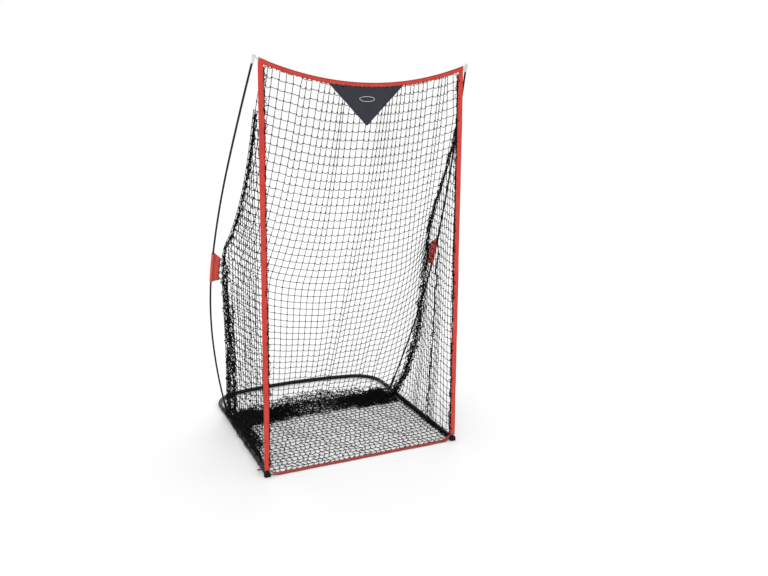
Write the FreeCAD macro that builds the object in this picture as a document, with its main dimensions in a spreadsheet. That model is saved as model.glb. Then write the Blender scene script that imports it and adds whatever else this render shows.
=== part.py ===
import FreeCAD, Part
import math
import os

from FreeCAD import Matrix, Placement, Vector

# Portable catch net: a steel U of tubes lies on the floor, two sprung poles stand in sockets
# on it and bow forwards, and a net bag hangs between the pole tips, the poles and the base.
# Millimetres. X runs across the opening, Y from the opening to the rear, Z up.
# The origin is on the floor, under the middle of the whole object.
# Every paired piece is built on the right (+X) side and mirrored to the left.

SIZES = {
    # base tubes
    "front_plane": (-720, "Y of the vertical plane through the opening's foot"),
    "foot_spacing": (1280, "distance between the rails at the opening"),
    "rail_splay": (0.86, "degrees each rail turns outwards"),
    "rail_start": (14, "front end of the rail behind the front plane"),
    "rail_length": (806, "front rail tube"),
    "corner_run": (380, "straight part of the corner tube, up to its bend"),
    "bend_radius": (225, "bend of the corner tube"),
    "bar_radius": (2308, "radius of the shallow rear arc, made exact from the end of the bend"),
    "bar_half_angle": (12, "degrees from the middle of the rear arc to the bend"),
    "bar_joint_angle": (8, "degrees from the middle of the rear arc to its joints"),
    "tube_diameter": (28, "base tube outside"),
    "tube_bore": (25, "base tube inside"),
    "spigot_diameter": (24.6, "swaged end outside"),
    "spigot_bore": (21.6, "swaged end inside"),
    "spigot_length": (60, "swaged end"),
    "spigot_shoulder": (10, "narrow bore carried on past the shoulder"),
    "tube_centre_height": (16, "axis of the base tubes above the floor"),
    # snap buttons
    "button_diameter": (7, "button shank"),
    "button_hole": (7.4, "hole in both tubes"),
    "button_stand": (3.4, "button above the tube"),
    "button_flange": (10, "flange inside the swaged end"),
    "button_setback": (30, "button from the joint line"),
    "leaf_thick": (0.6, "button spring leaf"),
    "leaf_width": (7, "button spring leaf"),
    "leaf_reach": (30, "button spring leaf"),
    # feet and hooks
    "foot_width": (36, "rubber foot across"),
    "foot_length": (28, "rubber foot along the rail"),
    "foot_plug": (25, "plug inside the rail"),
    "foot_round": (3, "rounding of the rubber foot"),
    "hook_diameter": (6, "hook pin shank"),
    "hook_reach": (26, "hook pin beyond the tube"),
    "hook_head": (11, "hook pin head"),
    "hook_place": (75, "hook pin behind the front plane"),
    # poles
    "socket_place": (1008, "pole foot behind the front plane"),
    "pole_foot_out": (656, "pole foot from the middle"),
    "pole_foot_height": (45, "pole foot above the floor"),
    "lean_out": (13.3, "degrees the socket leans outwards"),
    "lean_forward": (17.0, "degrees the socket leans forwards"),
    "bow_heading": (28.6, "degrees the bow turns from straight inwards to the front"),
    "socket_diameter": (18, "pole socket outside"),
    "socket_bore": (12.6, "pole socket inside"),
    "socket_length": (110, "pole socket"),
    "socket_seat": (22, "solid foot of the socket below the pole"),
    "weld_diameter": (27, "weld flare at the socket's foot"),
    "weld_height": (16, "weld flare"),
    "pole_diameter": (12, "fibreglass pole outside"),
    "pole_bore": (7.6, "fibreglass pole inside"),
    "pole_section": (654, "length of each of the four sections"),
    "pole_straight": (90, "straight foot of the pole"),
    "bow_radius_one": (4800, "bow of the first section"),
    "bow_radius_two": (3600, "bow of the second section"),
    "bow_radius_three": (7200, "bow of the third section"),
    "bow_radius_four": (20600, "bow of the top section"),
    "splice_diameter": (7, "splice pin between sections"),
    "splice_length": (60, "splice pin between sections"),
    # pole tips
    "tip_bore": (12.2, "hole for the pole"),
    "tip_skirt_diameter": (15.5, "lower end of the tip"),
    "tip_body_diameter": (20, "body under the groove"),
    "tip_body": (38, "body of the tip"),
    "tip_roof": (3, "body above the pole's end"),
    "tip_neck_diameter": (12, "groove for the net's loop"),
    "tip_neck": (8, "groove for the net's loop"),
    "tip_flange_diameter": (22, "flange above the groove"),
    "tip_flange": (6, "flange above the groove"),
    # fabric trims
    "trim_width": (38, "flat width of the side sleeves"),
    "trim_thick": (5, "side sleeves"),
    "trim_foot": (39, "lower end of the side sleeves above the floor"),
    "trim_top": (2402, "upper end of the side sleeves"),
    "trim_top_half": (612, "side sleeve from the middle, at the top"),
    "trim_lean": (30, "how far the opening leans forwards at the top"),
    "top_trim_depth": (25, "height of the top sleeve"),
    "top_trim_half": (590, "half length of the top sleeve"),
    "top_sag_radius": (1780, "curve of the top sleeve"),
    "top_sag_low": (2292, "middle of the top sleeve above the floor"),
    "bottom_trim_half": (612, "half length of the bottom sleeve"),
    "bottom_trim_thick": (8, "bottom sleeve"),
    "bottom_trim_ahead": (13, "bottom sleeve ahead of the front plane"),
    "pennant_width": (454, "pennant along the top sleeve"),
    "pennant_drop": (210, "pennant from the sleeve to its point"),
    "pennant_thick": (2, "pennant"),
    # pole sleeves and ties
    "sleeve_height": (210, "fabric sleeve on the pole"),
    "sleeve_place": (1195, "middle of the sleeve above the floor"),
    "sleeve_bore": (17, "sleeve around the pole"),
    "sleeve_wall": (1.6, "sleeve fabric"),
    "sleeve_flap": (42, "flap from the pole to the net"),
    "lace_ring": (5, "radius of a lacing loop, to its cord's middle"),
    "lace_gap": (1, "clearance from a lacing loop to the sleeve's flap"),
    "cord_diameter": (2.6, "lacing and tie cord"),
    "tie_cord_diameter": (1.8, "cord loops between the rail and the floor"),
    "strap_width": (20, "rear corner strap"),
    "strap_thick": (1.9, "rear corner strap"),
    "strap_place": (1090, "rear corner strap behind the front plane"),
    "rail_tie_first": (150, "first rail loop behind the front plane"),
    "rail_tie_pitch": (105, "rail loops"),
    "rail_tie_count": (7, "rail loops"),
    "rope_diameter": (5, "border rope of the net"),
    # net panels
    "net_thick": (2, "net panels"),
    "net_gap": (4, "between neighbouring panels"),
    "net_tuck": (10, "side net's front edge inward of the side sleeve's middle"),
    "floor_net_half": (618, "floor net from the middle"),
    "floor_net_front": (27, "front edge of the floor net"),
    "floor_net_rear": (905, "rear edge of the floor net"),
}

# The net's rear corner seam: height, distance from the middle, distance behind the front plane.
REAR_SEAM = [
    (38, 664, 940),
    (250, 690, 792),
    (620, 710, 646),
    (1090, 730, 592),
    (1300, 727, 556),
    (1410, 692, 468),
    (1540, 672, 368),
    (1670, 660, 268),
    (1820, 652, 168),
    (1990, 645, 78),
    (2150, 638, 12),
]
# The back net in the middle of its width, at the same heights: distance behind the front plane.
BACK_MIDDLE = [1055, 900, 690, 480, 385, 330, 265, 200, 135, 72, 18]
# Slack of the back net lying on the floor, in side view: distance behind the front plane, height.
SLACK_OUTLINE = [(770, 3), (800, 14), (900, 34), (1000, 48), (1058, 40), (1058, 3)]
SLACK_HALF_WIDTH = 560
FLAP_ROOT = 0.4  # from the sleeve's bore to where its flap starts, inside the wall
CORNER_SHARE = 0.22  # part of a rope run that its corner arc takes up

doc = FreeCAD.newDocument("CatchNet")
sheet = doc.addObject("Spreadsheet::Sheet", "Sizes")
for row, (alias, (value, meaning)) in enumerate(SIZES.items(), start=1):
    sheet.set(f"A{row}", alias)
    sheet.set(f"B{row}", str(value))
    sheet.set(f"C{row}", meaning)
    sheet.setAlias(f"B{row}", alias)
doc.recompute()

nodes = []  # the objects that are written as sub-parts


def size(alias):
    """The value of one driving dimension."""
    return float(sheet.get(alias))


def bind(obj, **expressions):
    """Tie properties of an object to cells of the sheet; a bare word is a cell."""
    for prop, expression in expressions.items():
        words = expression.split()
        linked = " ".join(f"Sizes.{w}" if w in SIZES else w for w in words)
        obj.setExpression(prop, linked)
    return obj


def primitive(kind, name, placement=None, **expressions):
    """A Part primitive whose sizes are bound to the sheet."""
    obj = doc.addObject(f"Part::{kind}", name)
    bind(obj, **expressions)
    if placement:
        obj.Placement = placement
    return obj


def fuse(name, *shapes):
    obj = doc.addObject("Part::MultiFuse", name)
    obj.Shapes = list(shapes)
    return obj


def cut(name, base, *tools):
    obj = doc.addObject("Part::Cut", name)
    obj.Base = base
    obj.Tool = tools[0] if len(tools) == 1 else fuse(f"{name}_tools", *tools)
    return obj


def solid_feature(name, shape):
    """A sub-part whose shape is set directly, for forms that the primitives can't make."""
    obj = doc.addObject("Part::Feature", name)
    obj.Shape = shape
    return obj


def node(obj, label):
    """Keep an object as a sub-part under its own name."""
    obj.Label = label
    nodes.append(obj)
    return obj


def pair(obj, label):
    """Keep a right-hand sub-part and its mirror image on the left."""
    node(obj, f"right_{label}")
    mirror = doc.addObject("Part::Mirroring", f"mirror_{label}")
    mirror.Source = obj
    mirror.Base = Vector(0, 0, 0)
    mirror.Normal = Vector(1, 0, 0)
    return node(mirror, f"left_{label}")


def axes(origin, x_axis, y_axis, z_axis):
    """A placement whose local axes point along three given unit vectors."""
    x, y, z, o = x_axis, y_axis, z_axis, origin
    return Placement(Matrix(x.x, y.x, z.x, o.x, x.y, y.y, z.y, o.y, x.z, y.z, z.z, o.z))


def along(origin, direction, side=Vector(1, 0.2, 0.1)):
    """A placement with local Z along a direction and local X as near as can be to side."""
    z = Vector(direction).normalize()
    x = (side - z * side.dot(z)).normalize()
    return axes(origin, x, z.cross(x), z)


class Heading:
    """A point, a direction of travel and a normal, which walks along lines and arcs."""

    def __init__(self, point, tangent, normal):
        self.point, self.tangent, self.normal = Vector(point), Vector(tangent), Vector(normal)

    def copy(self):
        return Heading(self.point, self.tangent, self.normal)

    def straight(self, distance):
        self.point = self.point + self.tangent * distance
        return self

    def arc(self, radius, distance):
        """Travel a distance along an arc that bends towards the normal."""
        angle = distance / radius
        centre = self.point + self.normal * radius
        outward = self.normal * -math.cos(angle) + self.tangent * math.sin(angle)
        self.tangent = self.tangent * math.cos(angle) + self.normal * math.sin(angle)
        self.point = centre + outward * radius
        self.normal = outward * -1
        return self

    def rod(self, name, radius, length):
        """A straight cylinder that starts here; radius and length are expressions."""
        place = along(self.point, self.tangent, self.normal)
        return primitive("Cylinder", name, place, Radius=radius, Height=length)

    def bow(self, name, bend, radius, degrees):
        """A torus sector that starts here; bend, radius and degrees are expressions."""
        bend_value = bend if isinstance(bend, (int, float)) else size(bend)
        x_axis = self.normal * -1
        centre = self.point + self.normal * bend_value
        place = axes(centre, x_axis, self.tangent, x_axis.cross(self.tangent))
        obj = primitive("Torus", name, place, Radius1=str(bend), Radius2=radius, Angle3=degrees)
        obj.Angle1, obj.Angle2 = -180, 180
        return obj


UP = Vector(0, 0, 1)
splay = math.radians(size("rail_splay"))
rail_direction = Vector(math.sin(splay), math.cos(splay), 0)
inward = Vector(-math.cos(splay), math.sin(splay), 0)


def on_rail(depth):
    """The point of the right rail's axis at a distance behind the front plane."""
    across = size("foot_spacing") / 2 + depth * math.tan(splay)
    return Vector(across, size("front_plane") + depth, size("tube_centre_height"))


def rail_heading(depth):
    return Heading(on_rail(depth), rail_direction, inward)


joint_depth = size("rail_start") + size("rail_length") * math.cos(splay)
joint = rail_heading(joint_depth)
bend_degrees = 90 - size("bar_half_angle") + size("rail_splay")
bend_start = joint.copy().straight(size("corner_run"))
bend_end = bend_start.copy().arc(size("bend_radius"), size("bend_radius") * math.radians(bend_degrees))
# the rear arc's radius follows from the end of the bend, so that the bar meets both corner tubes
sheet.set("bar_radius", str(bend_end.point.x / math.sin(math.radians(size("bar_half_angle")))))
doc.recompute()
stub_degrees = size("bar_half_angle") - size("bar_joint_angle")
bar_joint = bend_end.copy().arc(size("bar_radius"), size("bar_radius") * math.radians(stub_degrees))


# ---------------------------------------------------------------- snap button joints
def button_hole(name, centre):
    """A drill for the button's hole, upwards from the tube's axis."""
    return primitive("Cylinder", name, along(centre, UP), Radius="button_hole / 2", Height="tube_diameter")


def snap_button(name, centre):
    """Shank with a bevelled top and a flange that stops inside the swaged end."""
    shank_start = 9.3
    flange_thick = 1.2
    bevel = 1.1
    shank = primitive(
        "Cylinder", f"{name}_shank", along(centre + UP * shank_start, UP),
        Radius="button_diameter / 2",
        Height=f"tube_diameter / 2 + button_stand - {shank_start + bevel}",
    )
    top = centre + UP * (size("tube_diameter") / 2 + size("button_stand") - bevel)
    crown = primitive(
        "Cone", f"{name}_crown", along(top, UP),
        Radius1="button_diameter / 2", Radius2="button_diameter / 2 - 1", Height=str(bevel),
    )
    flange = primitive(
        "Cylinder", f"{name}_flange", along(centre + UP * (shank_start - flange_thick), UP),
        Radius="button_flange / 2", Height=str(flange_thick),
    )
    return fuse(name, shank, crown, flange)


def button_spring(name, centre, inner_direction):
    """A V-shaped leaf: its fold lies deeper in the tube and its upper leg carries the button."""
    legs = []
    fold = centre + inner_direction * 20 + UP * -0.8
    for leg, degrees in (("upper", 15.3), ("lower", -16.2)):
        turn = math.radians(degrees)
        leg_direction = inner_direction * -math.cos(turn) + UP * math.sin(turn)
        across = leg_direction.cross(UP).normalize()
        corner = fold - across * (size("leaf_width") / 2)
        place = axes(corner, leg_direction, across, leg_direction.cross(across))
        legs.append(primitive(
            "Box", f"{name}_{leg}", place,
            Length="leaf_reach", Width="leaf_width", Height="leaf_thick",
        ))
    return fuse(name, *legs)


rail_button = joint.copy().straight(-size("button_setback"))
bar_button = bar_joint.copy().arc(size("bar_radius"), -size("button_setback"))
for label, spot in (("rail", rail_button), ("bar", bar_button)):
    # each button sits in the swaged end of the next tube along, so its spring folds onward
    pair(snap_button(f"button_{label}", spot.point), f"{label}_snap_button")
    pair(button_spring(f"spring_{label}", spot.point, spot.tangent), f"{label}_button_spring")


# ---------------------------------------------------------------- base tubes
def side_rail():
    start = rail_heading(size("rail_start"))
    outer = start.rod("rail_outer", "tube_diameter / 2", "rail_length")
    bore = start.rod("rail_bore", "tube_bore / 2", "rail_length")
    return cut("rail", outer, bore, button_hole("rail_hole", rail_button.point))


def corner_tube():
    """Swaged front end, straight run, tight bend, and the start of the rear arc."""
    spigot_start = joint.copy().straight(-size("spigot_length"))
    past_shoulder = joint.copy().straight(size("spigot_shoulder"))
    outer = fuse(
        "corner_outer",
        spigot_start.rod("corner_spigot", "spigot_diameter / 2", "spigot_length"),
        joint.rod("corner_straight", "tube_diameter / 2", "corner_run"),
        bend_start.bow("corner_bend", "bend_radius", "tube_diameter / 2", str(bend_degrees)),
        bend_end.bow("corner_stub", "bar_radius", "tube_diameter / 2", str(stub_degrees)),
    )
    inner = fuse(
        "corner_inner",
        spigot_start.rod("corner_spigot_bore", "spigot_bore / 2", "spigot_length + spigot_shoulder"),
        past_shoulder.rod("corner_straight_bore", "tube_bore / 2", "corner_run - spigot_shoulder"),
        bend_start.bow("corner_bend_bore", "bend_radius", "tube_bore / 2", str(bend_degrees)),
        bend_end.bow("corner_stub_bore", "bar_radius", "tube_bore / 2", str(stub_degrees)),
    )
    holes = (button_hole("corner_hole", rail_button.point), button_hole("stub_hole", bar_button.point))
    return cut("corner", outer, inner, *holes)


def rear_bar():
    """A shallow arc with a swaged end on each side."""
    spigot_degrees = math.degrees(size("spigot_length") / size("bar_radius"))
    sweep = 2 * size("bar_joint_angle")
    right_end = bar_joint.copy().arc(size("bar_radius"), -size("spigot_length"))
    left_end = bar_joint.copy().arc(size("bar_radius"), size("bar_radius") * math.radians(sweep))
    outer = fuse(
        "bar_outer",
        right_end.bow("bar_right_spigot", "bar_radius", "spigot_diameter / 2", str(spigot_degrees)),
        bar_joint.bow("bar_main", "bar_radius", "tube_diameter / 2", str(sweep)),
        left_end.bow("bar_left_spigot", "bar_radius", "spigot_diameter / 2", str(spigot_degrees)),
    )
    whole = str(sweep + 2 * spigot_degrees)
    shoulder_degrees = math.degrees(size("spigot_shoulder") / size("bar_radius"))
    past_shoulder = bar_joint.copy().arc(size("bar_radius"), size("spigot_shoulder"))
    bore = fuse(
        "bar_bore",
        right_end.bow("bar_narrow_bore", "bar_radius", "spigot_bore / 2", whole),
        past_shoulder.bow("bar_wide_bore", "bar_radius", "tube_bore / 2", str(sweep - 2 * shoulder_degrees)),
    )
    left_button = Vector(-bar_button.point.x, bar_button.point.y, bar_button.point.z)
    holes = (button_hole("bar_hole_right", bar_button.point), button_hole("bar_hole_left", left_button))
    return cut("bar", outer, bore, *holes)


pair(side_rail(), "side_rail")
pair(corner_tube(), "corner_tube")
node(rear_bar(), "rear_bar")


# ---------------------------------------------------------------- feet and hook pins
def foot_cap():
    """A rubber foot with a flat sole and a plug that fills the end of the rail."""
    start = rail_heading(size("rail_start") - size("foot_length"))
    floor = Vector(start.point.x, start.point.y, 0) + inward * (size("foot_width") / 2)
    block = primitive(
        "Box", "foot_block", axes(floor, inward * -1, rail_direction, UP),
        Length="foot_width", Width="foot_length", Height="foot_width / 2",
    )
    arch_start = Heading(Vector(start.point.x, start.point.y, size("foot_width") / 2), rail_direction, inward)
    arch = arch_start.rod("foot_arch", "foot_width / 2", "foot_length")
    head = fuse("foot_head", block, arch)
    doc.recompute()
    front_edges = [
        (number, size("foot_round"), size("foot_round"))
        for number, edge in enumerate(head.Shape.Edges, start=1)
        if all((v.Point - start.point).dot(rail_direction) < 0.01 for v in edge.Vertexes)
        and (edge.CenterOfMass - start.point).dot(rail_direction) < 0.01
        and edge.CenterOfMass.z > 1
    ]
    rounded = doc.addObject("Part::Fillet", "foot_rounded")
    rounded.Base = head
    rounded.Edges = front_edges
    plug_start = rail_heading(size("rail_start") - 1)
    plug = plug_start.rod("foot_plug_rod", "tube_bore / 2 - 0.2", "foot_plug + 1")
    return fuse("foot", rounded, plug)


def hook_pin():
    """A short headed pin on the outside of the rail, for the net's lower corner loop."""
    outward = inward * -1
    start = on_rail(size("hook_place")) + outward * (size("tube_diameter") / 2 - 0.6)
    shank = primitive(
        "Cylinder", "hook_shank", along(start, outward), Radius="hook_diameter / 2", Height="hook_reach",
    )
    head_thick = 3
    head = primitive(
        "Cylinder", "hook_top", along(start + outward * (size("hook_reach") - head_thick), outward),
        Radius="hook_head / 2", Height=str(head_thick),
    )
    pin = fuse("hook_whole", shank, head)
    tube = rail_heading(size("hook_place") - 20).rod("hook_seat", "tube_diameter / 2", "40")
    return cut("hook", pin, tube)


pair(foot_cap(), "foot_cap")
pair(hook_pin(), "hook_pin")

# ---------------------------------------------------------------- pole sockets and poles
lean_out = math.tan(math.radians(size("lean_out")))
lean_forward = math.tan(math.radians(size("lean_forward")))
pole_direction = Vector(lean_out, -lean_forward, 1).normalize()
bow_heading = math.radians(size("bow_heading"))
bow_side = Vector(-math.cos(bow_heading), -math.sin(bow_heading), 0)
bow_side = (bow_side - pole_direction * bow_side.dot(pole_direction)).normalize()
pole_foot = Heading(
    Vector(size("pole_foot_out"), size("front_plane") + size("socket_place"), size("pole_foot_height")),
    pole_direction, bow_side,
)
BOWS = ["bow_radius_one", "bow_radius_two", "bow_radius_three", "bow_radius_four"]


def pole_socket():
    """A tube stub welded on the corner tube, coped to it, with a flared weld at its foot."""
    start = pole_foot.copy().straight(-size("socket_seat"))
    body = start.rod("socket_body", "socket_diameter / 2", "socket_length")
    flare = primitive(
        "Cone", "socket_weld", along(start.copy().straight(-4).point, pole_direction),
        Radius1="weld_diameter / 2", Radius2="socket_diameter / 2", Height="weld_height",
    )
    bore = pole_foot.rod("socket_hole", "socket_bore / 2", "socket_length")
    tube = rail_heading(size("socket_place") - 60).rod("socket_cope", "tube_diameter / 2", "120")
    return cut("socket", fuse("socket_outer", body, flare), bore, tube)


def pole_section(number, start):
    """One fibreglass section; the first has a straight foot. Returns the piece and its end."""
    bend = BOWS[number - 1]
    end = start.copy()
    outer, inner = [], []
    length = size("pole_section")
    if number == 1:
        outer.append(start.rod("pole_foot_outer", "pole_diameter / 2", "pole_straight"))
        inner.append(start.rod("pole_foot_inner", "pole_bore / 2", "pole_straight"))
        end.straight(size("pole_straight"))
        length -= size("pole_straight")
    degrees = str(math.degrees(length / size(bend)))
    outer.append(end.bow(f"pole_outer_{number}", bend, "pole_diameter / 2", degrees))
    inner.append(end.bow(f"pole_inner_{number}", bend, "pole_bore / 2", degrees))
    end.arc(size(bend), length)
    if number == 1:
        outer, inner = [fuse("pole_outer_foot", *outer)], [fuse("pole_inner_foot", *inner)]
    return cut(f"pole_{number}", outer[0], inner[0]), end


pair(pole_socket(), "pole_socket")
here = pole_foot.copy()
section_ends = []
for number in range(1, 5):
    piece, here = pole_section(number, here)
    pair(piece, f"pole_section_{number}")
    section_ends.append(here.copy())
pole_end = section_ends[-1]
tip_shoulder = pole_end.copy().straight(size("tip_roof"))
splices = [
    end.copy().straight(-size("splice_length") / 2).rod(f"splice_{i}", "splice_diameter / 2", "splice_length")
    for i, end in enumerate(section_ends[:3], start=1)
]
splice_group = doc.addObject("Part::Compound", "splices")
splice_group.Links = splices
pair(splice_group, "pole_splices")


def pole_tip():
    """A moulded spool: tapered body over the pole's end, a groove, and a flange."""
    start = pole_end.copy().straight(size("tip_roof") - size("tip_body"))
    place = along(start.point, pole_end.tangent)
    body = primitive(
        "Cone", "tip_cone", place,
        Radius1="tip_skirt_diameter / 2", Radius2="tip_body_diameter / 2", Height="tip_body",
    )
    neck_place = along(tip_shoulder.point, pole_end.tangent)
    neck = primitive(
        "Cylinder", "tip_groove", neck_place, Radius="tip_neck_diameter / 2", Height="tip_neck + 1",
    )
    flange_place = along(tip_shoulder.copy().straight(size("tip_neck")).point, pole_end.tangent)
    flange = primitive(
        "Cylinder", "tip_disc", flange_place, Radius="tip_flange_diameter / 2", Height="tip_flange",
    )
    hole = primitive(
        "Cylinder", "tip_hole", place, Radius="tip_bore / 2", Height="tip_body - tip_roof + 0.1",
    )
    whole = fuse("tip_whole", body, neck, flange)
    doc.recompute()
    rim_z = size("tip_neck") + size("tip_flange")
    rims = [
        (number, 1.8, 1.8)
        for number, edge in enumerate(whole.Shape.Edges, start=1)
        if abs((edge.CenterOfMass - tip_shoulder.point).dot(pole_end.tangent) - rim_z) < 0.1
        and abs(edge.Length - math.pi * size("tip_flange_diameter")) < 1
    ]
    rounded = doc.addObject("Part::Fillet", "tip_rounded")
    rounded.Base = whole
    rounded.Edges = rims
    return cut("tip", rounded, hole)


pair(pole_tip(), "pole_tip")


# ---------------------------------------------------------------- cord loops and straps
def ring(name, centre, axis, radius, thickness):
    """A closed loop of cord around an axis; radius and thickness are expressions."""
    return primitive("Torus", name, along(centre, axis), Radius1=radius, Radius2=thickness)


tip_groove = tip_shoulder.copy().straight(size("tip_neck") / 2)
pair(
    ring("tip_ring", tip_groove.point, pole_end.tangent,
         "tip_neck_diameter / 2 + cord_diameter / 2 + 0.1", "cord_diameter / 2"),
    "tip_loop",
)
hook_spot = on_rail(size("hook_place")) - inward * (size("tube_diameter") / 2 + 12)
pair(
    ring("hook_ring", hook_spot, inward, "hook_diameter / 2 + cord_diameter / 2 + 0.1", "cord_diameter / 2"),
    "hook_loop",
)

TIE_RADIUS = "tube_diameter / 2 + tie_cord_diameter / 2 + 0.1"
rail_ties = doc.addObject("Part::Compound", "rail_ties")
rail_ties.Links = [
    ring(f"rail_tie_{i}", on_rail(size("rail_tie_first") + i * size("rail_tie_pitch")),
         rail_direction, TIE_RADIUS, "tie_cord_diameter / 2")
    for i in range(int(size("rail_tie_count")))
]
pair(rail_ties, "rail_ties")


def corner_strap():
    """A webbing loop around the corner tube, behind the socket."""
    start = rail_heading(size("strap_place"))
    outer = start.rod("strap_outer", "tube_diameter / 2 + 0.1 + strap_thick", "strap_width")
    bore = start.rod("strap_bore", "tube_diameter / 2 + 0.1", "strap_width")
    return cut("strap", outer, bore)


pair(corner_strap(), "corner_strap")

# ---------------------------------------------------------------- pole sleeves
sleeve_spot = pole_foot.copy().straight(size("pole_straight"))
sleeve_spot.arc(size("bow_radius_one"), size("pole_section") - size("pole_straight"))
climb = (size("sleeve_place") - sleeve_spot.point.z) / sleeve_spot.tangent.z
sleeve_spot.arc(size("bow_radius_two"), climb)
sleeve_axis = sleeve_spot.tangent
flap_direction = Vector(-1, 0.08, 0)
flap_direction = (flap_direction - sleeve_axis * flap_direction.dot(sleeve_axis)).normalize()
sleeve_base = sleeve_spot.point - sleeve_axis * (size("sleeve_height") / 2)


def pole_sleeve():
    """A fabric tube around the pole with a flap that reaches to the net's edge."""
    place = along(sleeve_base, sleeve_axis, flap_direction)
    outer = primitive(
        "Cylinder", "sleeve_outer", place, Radius="sleeve_bore / 2 + sleeve_wall", Height="sleeve_height",
    )
    bore = primitive("Cylinder", "sleeve_hole", place, Radius="sleeve_bore / 2", Height="sleeve_height")
    across = sleeve_axis.cross(flap_direction)
    corner = sleeve_base + flap_direction * (size("sleeve_bore") / 2 + FLAP_ROOT)
    corner -= across * size("sleeve_wall")
    flap = primitive(
        "Box", "sleeve_flap_box", axes(corner, flap_direction, across, sleeve_axis),
        Length="sleeve_flap", Width="2 * sleeve_wall", Height="sleeve_height",
    )
    return cut("sleeve", fuse("sleeve_whole", outer, flap), bore)


pair(pole_sleeve(), "pole_sleeve")
flap_end = size("sleeve_bore") / 2 + FLAP_ROOT + size("sleeve_flap")
lace_reach = flap_end + size("lace_gap") + size("cord_diameter") / 2 + size("lace_ring")
laces = doc.addObject("Part::Compound", "laces")
laces.Links = [
    ring(
        f"lace_{i}",
        sleeve_base + flap_direction * lace_reach + sleeve_axis * (size("sleeve_height") * share),
        sleeve_axis, "lace_ring", "cord_diameter / 2",
    )
    for i, share in enumerate((0.12, 0.5, 0.88))
]
pair(laces, "sleeve_lacing")

# ---------------------------------------------------------------- fabric trims
front = size("front_plane")
trim_low = Vector(size("foot_spacing") / 2, front, size("trim_foot"))
trim_high = Vector(size("trim_top_half"), front - size("trim_lean"), size("trim_top"))


def side_trim():
    """The flat sleeve up one side of the opening."""
    run = trim_high - trim_low
    place = along(trim_low, run, Vector(1, 0, 0))
    shift = place.multVec(Vector(-size("trim_width") / 2, -size("trim_thick") / 2, 0))
    place.Base = shift
    box = primitive("Box", "side_trim_box", place, Length="trim_width", Width="trim_thick")
    box.Height = run.Length
    return box


def lean_at(height):
    """How far the opening's plane stands ahead of the front plane at a height."""
    return size("trim_lean") * height / size("trim_top")


def top_trim():
    """The sagging sleeve along the top: a sector of a wide flat ring."""
    low = size("top_sag_low")
    lean = lean_at(low)
    radius = size("top_sag_radius")
    half_angle = math.degrees(math.asin(size("top_trim_half") / radius))
    centre = Vector(0, front - lean + size("trim_thick") / 2, low + radius)
    start = math.radians(-90 - half_angle)
    x_axis = Vector(math.cos(start), 0, math.sin(start))
    y_axis = Vector(-math.sin(start), 0, math.cos(start))
    place = axes(centre, x_axis, y_axis, x_axis.cross(y_axis))
    disc = primitive(
        "Cylinder", "top_disc", place, Radius="top_sag_radius + top_trim_depth / 2", Height="trim_thick",
    )
    hole = primitive(
        "Cylinder", "top_hole", place, Radius="top_sag_radius - top_trim_depth / 2", Height="trim_thick",
    )
    disc.Angle = hole.Angle = 2 * half_angle
    return cut("top_trim_ring", disc, hole)


def bottom_trim():
    corner = Vector(-size("bottom_trim_half"), front - size("bottom_trim_ahead"), 0)
    return primitive(
        "Box", "bottom_trim_box", Placement(corner, FreeCAD.Rotation()),
        Length="2 * bottom_trim_half", Width="trim_width", Height="bottom_trim_thick",
    )


def pennant():
    """A triangle of cloth under the top sleeve; its upper edge follows the sleeve."""
    low = size("top_sag_low") - size("top_trim_depth") / 2 - 0.4
    radius = size("top_sag_radius") + size("top_trim_depth") / 2 + 0.4
    half = size("pennant_width") / 2
    rise = radius - math.sqrt(radius * radius - half * half)
    rear = front - lean_at(low) - size("trim_thick") / 2
    left, right = Vector(-half, rear, low + rise), Vector(half, rear, low + rise)
    middle, point = Vector(0, rear, low), Vector(0, rear, low - size("pennant_drop"))
    edges = [
        Part.Arc(left, middle, right).toShape(),
        Part.LineSegment(right, point).toShape(),
        Part.LineSegment(point, left).toShape(),
    ]
    face = Part.Face(Part.Wire(edges))
    return solid_feature("pennant_cloth", face.extrude(Vector(0, size("pennant_thick"), 0)))


pair(side_trim(), "side_trim")
node(top_trim(), "top_trim")
node(bottom_trim(), "bottom_trim")
node(pennant(), "pennant")


# ---------------------------------------------------------------- net panels
def panel(columns, offset):
    """A closed thin solid over a grid of points: columns of equal length, offset for thickness."""
    faces = []

    def triangle(a, b, c):
        faces.append(Part.Face(Part.makePolygon([a, b, c, a])))

    def quad(a, b, c, d):
        triangle(a, b, c)
        triangle(a, c, d)

    rear = [[p + offset for p in column] for column in columns]
    last = len(columns) - 1
    rows = len(columns[0])
    for i in range(last):
        for j in range(rows - 1):
            for grid in (columns, rear):
                quad(grid[i][j], grid[i + 1][j], grid[i + 1][j + 1], grid[i][j + 1])
        for j in (0, rows - 1):
            quad(columns[i][j], columns[i + 1][j], rear[i + 1][j], rear[i][j])
    for i in (0, last):
        for j in range(rows - 1):
            quad(columns[i][j], columns[i][j + 1], rear[i][j + 1], rear[i][j])
    shape = Part.Solid(Part.Shell(faces))
    if shape.Volume < 0:
        shape.reverse()
    return shape


def seam_point(level, side=1, inset=0.0):
    height, across, depth = REAR_SEAM[level]
    return Vector(side * (across - inset), front + depth, height)


def side_net():
    """The net between the opening's side sleeve and the rear seam."""
    clear = size("trim_thick") / 2 + 1.5
    across_low, across_high = trim_low.x - size("net_tuck"), trim_high.x - size("net_tuck")
    front_edge = []
    for level, _, _ in REAR_SEAM:
        height = max(level, size("trim_foot"))
        share = height / size("trim_top")
        across = across_low + (across_high - across_low) * share
        front_edge.append(Vector(across, front - lean_at(height) + clear, height))
    rear_edge = [seam_point(level) for level in range(len(REAR_SEAM))]
    return solid_feature("side_net_panel", panel([front_edge, rear_edge], Vector(size("net_thick"), 0, 0)))


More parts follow.
